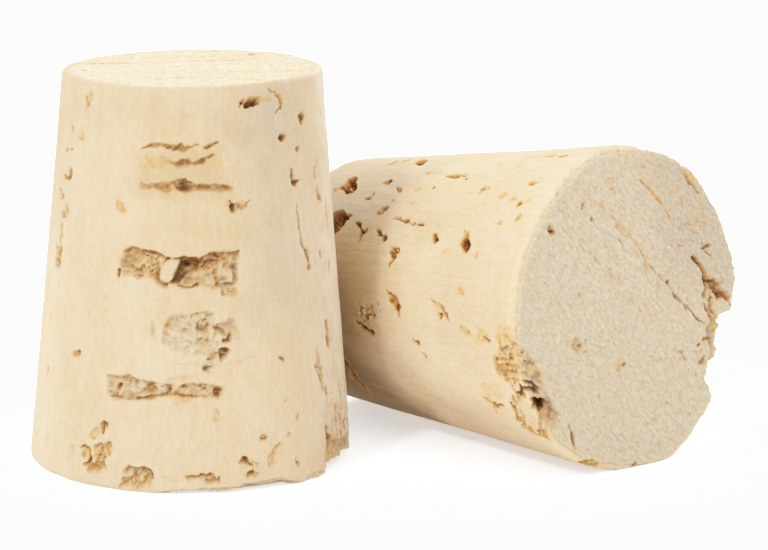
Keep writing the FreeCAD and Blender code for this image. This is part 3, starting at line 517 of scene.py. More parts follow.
LYING_FEATURES = [
    # Around the small end.
    patch([(-28, 25.25), (-27, 24.8), (-27.6, 24), (-30.7, 23.7), (-35.4, 22.8), (-38, 22.9), (-38.2, 23.5),
           (-36.2, 24.5), (-34.5, 25.1), (-31.6, 24.9)], 1, 0.8, jag=0.1, rough=0.8),
    pit((-29.5, 24.5), (0.8, 0.7), 1, 0.95),
    chip([(-33.6, 24.35), (-32.5, 24.2), (-34.6, 23.55), (-35.7, 23.45), (-35.2, 23.95)], 0.3, 0.1,
         rough=0.12),
    patch([(-36.2, 24.6), (-34.2, 25.1), (-35.2, 25.7), (-37.5, 25.4)], 0.25, 0.3),
    patch([(-49.1, 23.6), (-48.2, 23), (-50, 22.15), (-50.8, 21.2), (-52.7, 21.6), (-55.3, 21.7), (-58, 22),
           (-61, 22.5), (-61, 24.5), (-54, 24.8)], 0.95, 0.56, jag=0.1, rough=1.2),
    crack([(-51, 21.4), (-53, 21.8), (-57, 22.1)], 0.35, 1.1, 0.7),
    crack([(-54.2, 20.4), (-56.8, 19.4), (-58.3, 19.05), (-60.4, 19.1), (-63, 19.05)], 0.3, 0.7, 0.9,
          swell=0.5),
    crack([(-56.4, 18.75), (-57.4, 18.85), (-58.5, 19.05)], 0.22, 0.5, 0.6),
    crack([(-57.4, 17.5), (-59, 16.8), (-60.8, 16.1)], 0.24, 0.4, 0.6),
    pit((-60.4, 16.2), (0.4, 0.4), 0.5, 0.9),
    pit((-12.6, 22.6), (1.2, 0.8), 0.15, 0.34),
    pit((-9.1, 21.6), (1.4, 0.6), 0.12, 0.3),
    patch([(-11, 20), (-8, 19.8), (-11.5, 18.8), (-17, 18.4), (-14.5, 19.6)], 0.7, 0.85, jag=0.06),
    crack([(-24.3, 16.6), (-24.5, 16), (-24.6, 14.6)], 0.28, 0.2, 0.4, wander=0.05),
    pit((-31, 19.7), (0.5, 0.4), 0.4, 0.85),
    pit((-31.6, 20.1), (0.3, 0.4), 0.2, 0.4),
    pit((-36, 17.65), (0.45, 0.4), 0.35, 0.6),
    crack([(-34.6, 18.3), (-36.2, 17.6), (-37.4, 17.4)], 0.2, 0.25, 0.4),
    crack([(-40.9, 21), (-41.1, 20.35), (-39.8, 20.3), (-38.2, 20.4)], 0.18, 0.3, 0.5, swell=0.5),
    pit((-42.6, 17.4), (0.3, 0.35), 0.3, 0.75),
    pit((-46.8, 17.9), (0.8, 0.8), 0.3, 0.38, jag=0.3),
    pit((-46.6, 17.6), (0.4, 0.4), 0.4, 0.65),
    pit((-36, 15.5), (0.4, 0.7), 0.08, 0.24),
    pit((-33.1, 14.05), (0.3, 0.3), 0.3, 0.8),
    pit((-35.2, 13.8), (0.35, 0.35), 0.35, 0.85),
    pit((-43.7, 15), (0.3, 0.7), 0.05, 0.24),
    pit((-47.9, 13.7), (0.3, 0.8), 0.05, 0.24),
    # The chain of thin slits.
    crack([(-51.2, 16.2), (-51.6, 15.3), (-52.7, 14.4), (-53.5, 13.4), (-53.9, 12.2)], 0.13, 0.3, 0.6,
          wander=0.1, swell=0.9),
    pit((-51.4, 15.8), (0.3, 0.8), 0.2, 0.5),
    pit((-52.7, 14.4), (0.3, 0.3), 0.4, 0.85),
    pit((-53.5, 13.4), (0.3, 0.3), 0.4, 0.9),
    crack([(-57.6, 10.5), (-58.8, 10.2), (-60, 9.7)], 0.36, 0.35, 0.65),
    # The large pit by the middle and its neighbours.
    patch([(-55.6, 7.4), (-57, 7.3), (-58.6, 6.9), (-58.2, 6.5), (-56.2, 6.8)], 0.15, 0.38),
    patch([(-58.6, 7), (-61, 7.2), (-63.8, 6.6), (-63.6, 6.2), (-61, 6.1), (-59, 6.5)], 0.65, 0.8, jag=0.06),
    pit((-64.6, 5.1), (0.7, 0.4), 0.08, 0.24),
    pit((-64.8, 8.7), (0.4, 0.6), 0.05, 0.2),
    pit((-66.5, 14.7), (0.9, 0.9), 0.4, 0.45, jag=0.22),
    pit((-65.2, 14.75), (0.4, 0.4), 0.4, 0.8),
    crack([(-66.6, 14.9), (-68.5, 14.5), (-70.4, 14.7), (-72.4, 14.7)], 0.32, 0.35, 0.6),
    patch([(-82, 14.6), (-83, 13.7), (-85.4, 13.2), (-87.6, 12.9), (-87.4, 13.9), (-84.6, 14.5)], 0.3, 0.45,
          jag=0.15, rough=0.8),
    crack([(-85.4, 14.3), (-86.8, 13.7), (-88.4, 13.1)], 0.34, 0.45, 0.85),
    pit((-90.4, 13.3), (0.8, 0.5), 0.12, 0.26),
    pit((-78.6, 6), (0.9, 0.7), 0.08, 0.24, lean=30),
    crack([(-82.3, 9.6), (-83.6, 9.2), (-84.8, 8.3), (-86, 7.8)], 0.22, 0.15, 0.24, swell=0.4),
    patch([(-82.6, 9.4), (-84.4, 8.6), (-88, 8.3), (-90, 8.4), (-87, 9.3)], 0.06, 0.13, wall=0.4),
    crack([(-85.6, 8.3), (-87.4, 7.8), (-88, 7.4)], 0.3, 0.25, 0.5),
    crack([(-87.4, 8.5), (-88.8, 8.3), (-89.6, 8.5)], 0.24, 0.3, 0.6),
    pit((-88.6, 7.5), (0.5, 0.35), 0.3, 0.6),
    # The deep slanting slit by the small end, and the speckles above it.
    crack([(-96, 18.9), (-97, 18.3), (-98.2, 17.7)], 0.26, 0.4, 0.5),
    patch([(-97.4, 17.9), (-98.4, 17.9), (-100.6, 17.1), (-101, 16.6), (-100.1, 16.6), (-98.6, 17.2)], 1, 1,
          jag=0.08),
    pit((-91, 17.2), (1.3, 1.2), 0.12, 0.16, jag=0.55, crumbs=1),
    pit((-101, 19.4), (1, 1.4), 0.06, 0.18, jag=0.3),
    *peppered((-92, 17.5), (2.2, 0.7), 3, 44, 0.55),
    # A diagonal trail of small pits.
    crack([(-99.3, 11.8), (-100.4, 11.5), (-101.5, 11.2)], 0.3, 0.3, 0.55),
    crack([(-105, 11), (-106.2, 10.6)], 0.3, 0.12, 0.35),
    patch([(-90.6, 6.2), (-92.4, 6.3), (-94.4, 5), (-93.8, 4.7), (-92.6, 5.3), (-91.2, 5.5)], 0.1, 0.24,
          wall=0.25),
    pit((-94.6, 4.7), (0.5, 0.35), 0.12, 0.36),
    patch([(-90.6, 4.4), (-90.8, 3.2), (-93.2, 2.9), (-95.4, 3.4), (-96.6, 4.3), (-93, 4.2)], 0.1, 0.2,
          wall=0.25),
    crack([(-93.6, 3.6), (-94.2, 3.1), (-94.6, 2.6)], 0.28, 0.35, 0.6),
    *on("rim",
        patch([(-88.4, 1.5), (-89, 0.3), (-92, -0.3), (-96.6, 0), (-98, 1.6), (-93, 2.1)], 0.12, 0.21,
              wall=0.5, rough=0.9),
        pit((-91.6, 0.6), (0.7, 0.6), 0.15, 0.55, wall=0.8),
        pit((-94.3, 0.1), (0.5, 0.4), 0.15, 0.36, wall=0.8)),
    # The crack that curves round under the small end, and grain lines along the underside.
    crack([(-116, 23), (-118, 21.7), (-122.5, 21.4), (-128, 21.5), (-133, 21.3), (-139, 21)], 0.5, 0.6, 1,
          swell=0.4),
    crack([(-129, 19.5), (-130.6, 17.6), (-131.4, 15.6)], 0.14, 0.06, 0.3, wander=0.05),
    crack([(-126, 14.5), (-127, 12.4), (-126.6, 10.4)], 0.12, 0.05, 0.22, wander=0.08),
    crack([(-131, 13.4), (-132, 10.6), (-131.4, 7.6)], 0.12, 0.05, 0.24, wander=0.08),
    crack([(-134, 11.4), (-134.6, 8.6), (-135, 5.4)], 0.12, 0.05, 0.24, wander=0.08),
    crack([(-122, 9.4), (-123, 7.6), (-123, 6.2)], 0.12, 0.05, 0.2, wander=0.08),
    # The star pit and the stained square above it.
    patch([(-112, 4.7), (-111.8, 3.1), (-116, 2.9), (-118.8, 3.3), (-119.4, 5), (-115.5, 5.2)], 0.06, 0.15,
          wall=0.3),
    crack([(-119.8, 5.3), (-121, 4.7), (-121.8, 4.2), (-121.2, 3.2)], 0.26, 0.35, 0.6),
    crack([(-119.6, 3.9), (-121.7, 4.3), (-124, 4.6), (-126, 4.7)], 0.24, 0.3, 0.5),
    pit((-121.7, 4.3), (0.5, 0.5), 0.6, 1),
    pit((-127.5, 4.3), (1.2, 1.2), 0.05, 0.14, jag=0.3),
    # The gouge that breaks out through the rim, with flakes standing in it.
    *on("rim",
        patch([(-91.6, 0.2), (-95.6, -0.6), (-102.4, -1.65), (-108.5, -1.9), (-115.4, -1.9), (-123.6, -1.87),
               (-130.6, -1.8), (-133, -1.1), (-136.5, -0.2), (-136, 0.8), (-133, 1.4), (-131.4, 2.7),
               (-126.5, 2.4), (-121, 2.4), (-114.7, 1.3), (-111, 1.3), (-108.9, 2.1), (-106.6, 2.7),
               (-101, 2.9), (-98.5, 2.2), (-96, 1.2)], 0.45, 0.19, wall=0.6, rough=0.7),
        crack([(-101.4, 2.5), (-101, 1.4), (-100.6, 0.1)], 0.3, 0.6, 0.5, wander=0.05, swell=0.4),
        crack([(-104.2, 2.5), (-103.8, 1.4), (-103.2, 0.3)], 0.3, 0.6, 0.42, wander=0.05, swell=0.4),
        crack([(-106.8, 2.4), (-106.2, 1.3), (-105.3, 0.1)], 0.3, 0.6, 0.4, wander=0.08, swell=0.5),
        crack([(-109.4, 1.8), (-108.6, 0.9), (-108.2, 0.2)], 0.3, 0.6, 0.36, wander=0.08, swell=0.5),
        pit((-106, 1.9), (0.9, 0.8), 0.6, 0.3, jag=0.2),
        patch([(-110.2, 1.1), (-110.6, 0), (-113.4, -1.1), (-117.4, -1.2), (-118.6, -0.6), (-117.4, 0.5),
               (-114.8, 1.1)], 1.2, 0.42, wall=0.35),
        patch([(-117.6, -0.1), (-119.2, -1.1), (-123.5, -1.4), (-125.5, -0.8), (-121.5, 0.1)], 1.8, 0.85,
              wall=0.25, jag=0.06),
        patch([(-122.5, -0.9), (-124, -1.7), (-129.6, -1.6), (-130.6, -0.8), (-125.6, -0.2)], 0.8, 0.3,
              wall=0.3),
        chip([(-108.2, -0.1), (-109.2, -0.9), (-114.4, -1.75), (-116.6, -1.7), (-113.6, -0.9), (-110, 0.3)],
             0.3, 0.06, rough=0.12),
        chip([(-112.6, 0.2), (-115, -0.6), (-118, -1), (-118.6, -0.8), (-116.2, 0.2)], 0.5, 0.1, rough=0.12),
        chip([(-109.8, 1.2), (-110.4, 0.4), (-113, 0.5), (-114, 1.2)], 0.3, 0.08, rough=0.12),
        patch([(-96.5, -0.4), (-104.5, -1.7), (-108, -1.8), (-107, -0.4), (-101, 0.1)], 0.5, 0.2, wall=0.3,
              rough=0.9),
        crack([(-109, -0.2), (-112, -0.9), (-116, -1.4)], 0.2, 0.9, 0.4, wander=0.05),
        chip([(-116.6, 0.7), (-116.4, -0.1), (-119.4, -0.35), (-121, 0.1), (-122.5, -0.4), (-127.6, 0.2),
              (-131.4, 0.9), (-131, 2.2), (-125, 1.5), (-119, 1.5)], 0.3, 0.09, slope=(0.06, 0), rough=0.12),
        crack([(-118.4, 2.2), (-121, 2.2), (-124, 2.35), (-127.6, 2.5)], 0.22, 0.3, 0.45, wander=0.05),
        crack([(-114.6, 1.5), (-117.5, 1.7), (-121.5, 1.75), (-125, 1.8)], 0.22, 0.3, 0.35, wander=0.05),
        crack([(-127, 2.7), (-129, 2.2), (-130.4, 1.5)], 0.3, 0.35, 0.4, wander=0.1),
        crack([(-131.6, 2.9), (-133, 1.8), (-135, 1), (-137, 0.5)], 0.16, 0.2, 0.42, wander=0.05, swell=0.4)),
    # Up by the rim.
    pit((-36.4, 7.7), (0.6, 1), 0.2, 0.36, jag=0.18),
    pit((-39.6, 5.3), (0.8, 0.9), 0.06, 0.24),
    pit((-41.4, 4), (0.5, 0.7), 0.08, 0.26),
    pit((-43.3, 2.8), (0.7, 0.5), 0.2, 0.42),
    pit((-49.4, 2.1), (0.6, 0.5), 0.08, 0.28),
    pit((-51.7, 4), (0.5, 0.8), 0.08, 0.28),
    pit((-38.3, 9.1), (0.3, 1.2), 0.05, 0.16),
    pit((-33.4, 2.9), (0.4, 0.9), 0.15, 0.34),
    pit((-41, 2.1), (0.7, 0.7), 0.04, 0.18),
    pit((-22, 6.6), (0.8, 0.5), 0.04, 0.18),
    crack([(-15, 7.2), (-14.7, 6.4), (-16, 5.4)], 0.2, 0.1, 0.26, wander=0.05),
    crack([(-15.7, 4.9), (-15.9, 3.7), (-16, 2.2)], 0.34, 0.15, 0.42),
    pit((-15.8, 4.7), (0.4, 0.5), 0.2, 0.6),
    patch([(-27.4, 13.7), (-28.8, 12.6), (-28.2, 11.4), (-30.4, 10.6), (-29.6, 11.2), (-26.4, 11.4),
           (-26.8, 12.6)], 0.25, 0.4, jag=0.1),
    # The large end's pores.
    *on("large",
        pit((-7.7, -6.9), (1, 0.7), 0.25, 0.32, lean=25, jag=0.3),
        pit((-7.6, -6.8), (0.5, 0.35), 0.4, 0.66, jag=0.2),
        pit((-5.1, -1.7), (0.45, 0.4), 0.4, 0.75),
        pit((-5.3, 1.9), (1.4, 1), 0.16, 0.26, jag=0.5, crumbs=0.9),
        pit((-5.1, 2), (0.45, 0.4), 0.4, 0.6),
        pit((-4.6, 1.7), (0.3, 0.3), 0.3, 0.5),
        pit((-0.9, 4.1), (1.2, 0.7), 0.12, 0.22, lean=-30, jag=0.5, crumbs=0.9),
        pit((-0.7, 4.1), (0.45, 0.25), 0.3, 0.55, lean=-20),
        pit((-1.4, -9.5), (0.8, 0.5), 0.14, 0.24, jag=0.3),
        pit((-1.2, -9), (0.6, 0.3), 0.14, 0.26, jag=0.2),
        pit((2.2, -10.4), (0.6, 0.3), 0.14, 0.26, jag=0.2),
        pit((-4.3, -8.3), (0.5, 0.6), 0.16, 0.34, jag=0.2),
        pit((-3.5, -7.1), (0.35, 0.3), 0.2, 0.42),
        pit((4.28, -1.33), (0.5, 0.35), 0.4, 0.8, lean=-40),
        pit((2.4, 8.5), (0.5, 0.4), 0.1, 0.24, jag=0.2),
        pit((6.23, -7.3), (0.4, 0.9), 0.12, 0.26),
        pit((7, -5.4), (0.3, 0.6), 0.12, 0.28),
        pit((5.5, -4), (0.9, 0.25), 0.15, 0.34, lean=8),
        crack([(-6.6, 7.6), (-6.4, 8.5), (-6.1, 9.7)], 0.2, 0.3, 0.28, wander=0.05),
        pit((-6.25, 9.1), (0.22, 0.5), 0.35, 0.7)),
    # Growth lines: the layers of bark cross the end on a slant.
    *on("large",
        crack([(1.6, -9.5), (2.6, -8.7), (3.75, -7.5), (4.5, -6.6), (5.2, -5.5)], 0.26, 0.09, 0.38,
              wander=0.06, swell=0.4),
        crack([(-4.8, -9.6), (-3.3, -8.5), (-1.6, -7.2), (0.9, -4.8)], 0.2, 0.06, 0.2, wander=0.12),
        crack([(0.2, -5.6), (1.6, -4), (2.8, -2.6), (4.3, -1.3)], 0.2, 0.1, 0.31, wander=0.06, swell=0.4),
        crack([(4.3, -1.3), (5.3, -0.1), (6.4, 0.75), (7.3, 1.7), (8.5, 2.35)], 0.17, 0.25, 0.45, wander=0.08,
              swell=0.45),
        pit((6.4, 0.8), (0.7, 0.3), 0.15, 0.4, lean=-40, jag=0.2),
        crack([(-0.6, -1.5), (0.4, -0.4)], 0.16, 0.06, 0.22, wander=0.08),
        crack([(1.6, -0.2), (2.2, 0.6), (2.8, 1.3)], 0.2, 0.12, 0.4, wander=0.05),
        crack([(0.4, 1.3), (-1.6, 4), (-4.8, 5.6), (-6.6, 7)], 0.3, 0.04, 0.17, wander=0.25),
        *flecks((-6.4, -8.5), (-2.9, -3.4), 0.2, 6, 14, 0.2),
        *flecks((-1.9, -3.1), (1.8, 0.9), 0.16, 7, 12, 0.22),
        *flecks((-3.2, -8.7), (-0.6, -6.2), 0.16, 8, 12, 0.2),
        *flecks((-0.7, -6.3), (2.2, -3.3), 0.14, 9, 20, 0.27),
        *flecks((-2.8, -5.4), (0.2, -3), 0.5, 10, 12, 0.19),
        *flecks((2, -3.2), (3.2, -0.4), 0.4, 12, 12, 0.19),
        *flecks((5.4, -7), (8, -4.4), 0.8, 13, 20, 0.22),
        *flecks((2.5, 4.5), (7, 8), 1.6, 14, 26, 0.2),
        *flecks((-7, -3), (-1, 3), 1.6, 15, 18, 0.16)),
    # The loose layer on the right: a dark crevice behind it and crumbs below.
    *on("large",
        crack([(6.2, -9.4), (6.75, -8.85), (7.3, -8.3), (8, -7.6)], 0.3, 0.4, 0.6, wander=0.06, swell=0.5),
        crack([(8, -7.7), (8.3, -6.8), (8.7, -5.6), (8.6, -4.4)], 0.2, 0.12, 0.26, wander=0.1),
        crack([(8.3, -4.1), (8.6, -3.2), (9.3, -2.6)], 0.2, 0.4, 0.6, wander=0.15),
        crack([(8, -3.4), (8.6, -3.3), (9.2, -3.6)], 0.18, 0.35, 0.55, wander=0.15),
        patch([(7.2, -2.95), (7.4, -3.1), (8.45, -1.8), (8.8, -1.1), (8.5, -1.1), (7.7, -2.2)], 0.8, 0.7,
              jag=0.1),
        patch([(9, -1), (9.5, -0.9), (10.5, 0.1), (11.6, 1), (11.4, 1.5), (10.6, 0.6), (9.8, 0.5), (9.3, 0)],
              0.8, 0.55, jag=0.14, rough=1),
        crack([(9.2, -2.2), (9.8, -1.2), (10.6, -0.4)], 0.14, 0.15, 0.2),
        crack([(7.1, -3.1), (7.5, -2.4), (8, -1.9), (8.9, -0.85), (9.4, -0.05), (9.8, 0.5), (10.6, 0.5),
               (11.3, 1.3)], 0.26, 1.3, 0.95, wander=0.08, swell=0.5),
        crack([(8.08, -1.6), (8.57, -0.5), (8.2, 0.15), (8.5, 1.26), (9.16, 2.19), (9.41, 2.52)], 0.24, 0.7,
              0.75, wander=0.1, swell=0.6),
        crack([(9, -0.6), (8.95, 0.4), (9.05, 1.3), (9.5, 2.1)], 0.26, 0.8, 0.75, wander=0.1),
        crack([(8.3, 0.2), (8.8, 0.5), (9.3, 0.4)], 0.2, 0.5, 0.6, wander=0.1),
        pit((9, 2.2), (0.5, 0.6), 0.5, 0.4, jag=0.2),
        pit((8, 5), (0.9, 0.7), 0.3, 0.4, jag=0.35, crumbs=0.7),
        pit((8.1, 5.1), (0.35, 0.35), 0.4, 0.8),
        pit((7.5, 3.85), (0.3, 0.3), 0.3, 0.7),
        pit((7.4, 4.4), (0.8, 0.6), 0.12, 0.24, jag=0.3),
        pit((8.2, 3.5), (0.5, 0.3), 0.25, 0.5)),
    # The rim: worn flat above the loose layer, broken out below it.
    *on("rim",
        patch([(10, 0.3), (19, -0.1), (28, -0.5), (33.5, -0.75), (36.2, -0.3), (36.4, 1.5), (34, 3.5),
               (24, 4), (14, 2)], 0.38, 0.03, wall=0.35, jag=0.05, rough=0.2),
        patch([(36.5, 0.3), (35.5, -0.8), (39, -0.7), (44, -0.3), (44, 0.3)], 0.12, 0.22, wall=0.2),
        patch([(98, -0.4), (101, -1.7), (104.5, -2.6), (107.4, -2.97), (111.6, -2.68), (116.4, -2.07),
               (120.6, -1.8), (124.8, -1.75), (128.5, -1.5), (130.7, -0.5), (130.5, 0.8), (126, 1.8),
               (117, 2.1), (107, 2), (101, 1.4)], 1.25, 0.25, wall=0.4, jag=0.1, rough=0.3),
        lump((107.2, -1.7), (1.6, 1.3), 0.5, clean=0.2),
        lump((110.4, -1.5), (0.6, 1.6), 0.75, clean=0.9),
        pit((113, -1.6), (0.9, 1), 1.5, 0.6),
        lump((116.8, -0.8), (2, 1.4), 0.6, clean=0.3),
        pit((120.5, -1.2), (0.6, 0.7), 1.5, 0.6),
        patch([(137, 0.1), (141, -0.3), (146, 0.2), (143, 0.8)], 0.3, 0.1, rough=0.6),
        patch([(-163, 0.3), (-161.5, -0.4), (-155, -0.35), (-152.5, 0.2), (-155, 1), (-161, 1)], 0.5, 0.3,
              rough=0.8),
        pit((179, -0.3), (0.6, 0.6), 0.5, 0.75)),
    swell((150, 0), (36, 9), 0.55),
    swell((135, 0), (14, 5), 0.3),
    swell((168, 0), (28, 8), 0.45),
    swell((84, 0), (16, 5), 0.45),
    swell((34, 0), (22, 6), 0.3),
    swell((-14, 0), (24, 12), 0.35),
    # Broad soft patches of painted light and shade that make the colour lighter, darker, greyer or warmer.
    # Painted shade: much darker and browner in the crease under the small end, next to the upright stopper.
    tint([(-103, 36), (-111, 21.5), (-124, 17.4), (-140, 14.3), (-160, 14.3), (-160, 36)], (0.53, 0.46, 0.37),
         4),
    # Painted shade: a little darker along the underside.
    tint([(-127, 17), (-124, 7), (-130, 0.6), (-165, 0.6), (-165, 17)], (0.92, 0.915, 0.91), 4),
    # Painted shade: warmer and yellower where the upright stopper's shadow falls, standing in for light
    # bounced between the stoppers.
    tint([(-52, 36), (-56, 19), (-82, 16.3), (-100, 16.5), (-118, 18.5), (-128, 22), (-134, 36)],
         (0.98, 0.87, 0.67), 4),
    # Painted shadow: darker and greyer on the upper left, where the upright stopper's shadow falls.
    tint([(-14, 36), (-16, 15.5), (-40, 15.5), (-58, 18), (-62, 36)], (0.86, 0.89, 0.94), 4),
    # Painted light: paler beside the shadow's edge, where the upright stopper hides light from the side.
    tint([(-62, 14.2), (-62, 9.5), (-95, 9), (-116, 5.5), (-120, 12), (-104, 14)], (1.14, 1.18, 1.21), 3.5),
    # Painted shade: darker on the upper right of the large end.
    *on("large", tint([(1, -14), (14, -14), (14, 1), (5, -1)], (0.89, 0.88, 0.9), 5)),
]


# ---------------------------------------------------------------- the mesh


# How deep each kind of unevenness is and how large its lumps are, in millimetres.
WAVE, WAVE_GRAIN = 0.05, 6.0
RIPPLE, RIPPLE_GRAIN = 0.02, 1.6
GROUND, GROUND_GRAIN = 0.012, (0.35, 0.35, 2.5)
NAP, NAP_GRAIN = 0.06, (0.55, 0.26, 1.0)
WEAR, WEAR_GRAIN = 0.09, (1.6, 1.6, 1.6)
WEAR_REACH = 2.2
TORN, TORN_GRAIN = 0.08, 0.24
DEEPEST_WEAR = 0.38
# How large the lumps are, in millimetres, of what makes the cuts uneven: their edges, the thin seams of the
# bark in them, the crumbs and the floor in them, the path and the width of a slit, and the stain.
EDGE_GRAIN = {"pit": 0.55, "patch": 0.6, "chip": 0.5, "lump": 0.6, "tint": 1.6}
SEAM_GRAIN = 0.8
CRUMB_GRAIN = (0.4, 0.4, 0.32)
FLOOR_GRAIN = (0.6, 0.6, 0.45)
CHIP_GRAIN = 0.5
PATH_GRAIN = 0.8
WIDTH_GRAIN = 0.7
STAIN_GRAIN = 0.3
# How strong the stain is round a cut, as a share of the stain in it, and how far a pore is from an ellipse
# (2 is an ellipse).
HALO = 0.3
BOXY = 2.2
# The flat layout for baking is a square sheet, this many millimetres wide, with a gap between its parts.
SHEET = 64.0
SHEET_GAP = 1.0


def side_radius(height):
    """The radius of the side at a height."""
    return LARGE - (LARGE - SMALL) * height / LENGTH


def rim_curve(start, corner, end):
    """An eased corner in the profile plane, from start to end, round the corner."""
    t = np.linspace(0, 1, RIM_STEPS + 1)[:, None]
    return (1 - t) ** 2 * start + 2 * t * (1 - t) * corner + t**2 * end


def profile():
    """Radius and height of each row of the side, from the large end's face up to the small end's."""
    columns = 4 * GRID
    row_gap = 2 * math.pi * (LARGE + SMALL) / 2 / columns
    rows = int(round((LENGTH - 2 * RIM) / row_gap))
    heights = np.linspace(RIM, LENGTH - RIM, rows + 1)
    straight = np.stack([side_radius(heights), heights], 1)
    low = rim_curve(np.array([LARGE - RIM, 0.0]), np.array([LARGE, 0.0]), straight[0])
    high = rim_curve(straight[-1], np.array([SMALL, LENGTH]), np.array([SMALL - RIM, LENGTH]))
    return np.concatenate([low[:-1], straight, high[1:]])


def disc_grid():
    """The inner points of a square grid, squeezed smoothly into a disc of radius 1."""
    steps = np.linspace(-1, 1, GRID + 1)[1:-1]
    a, b = (g.ravel() for g in np.meshgrid(steps, steps, indexing="ij"))
    wide = np.abs(a) > np.abs(b)
    with np.errstate(divide="ignore", invalid="ignore"):
        turn = np.where(wide, math.pi / 4 * b / a, math.pi / 2 - math.pi / 4 * a / b)
    turn = np.where((a == 0) & (b == 0), 0.0, turn)
    radius = np.where(wide, a, b)
    return np.stack([radius * np.cos(turn), radius * np.sin(turn)], 1)


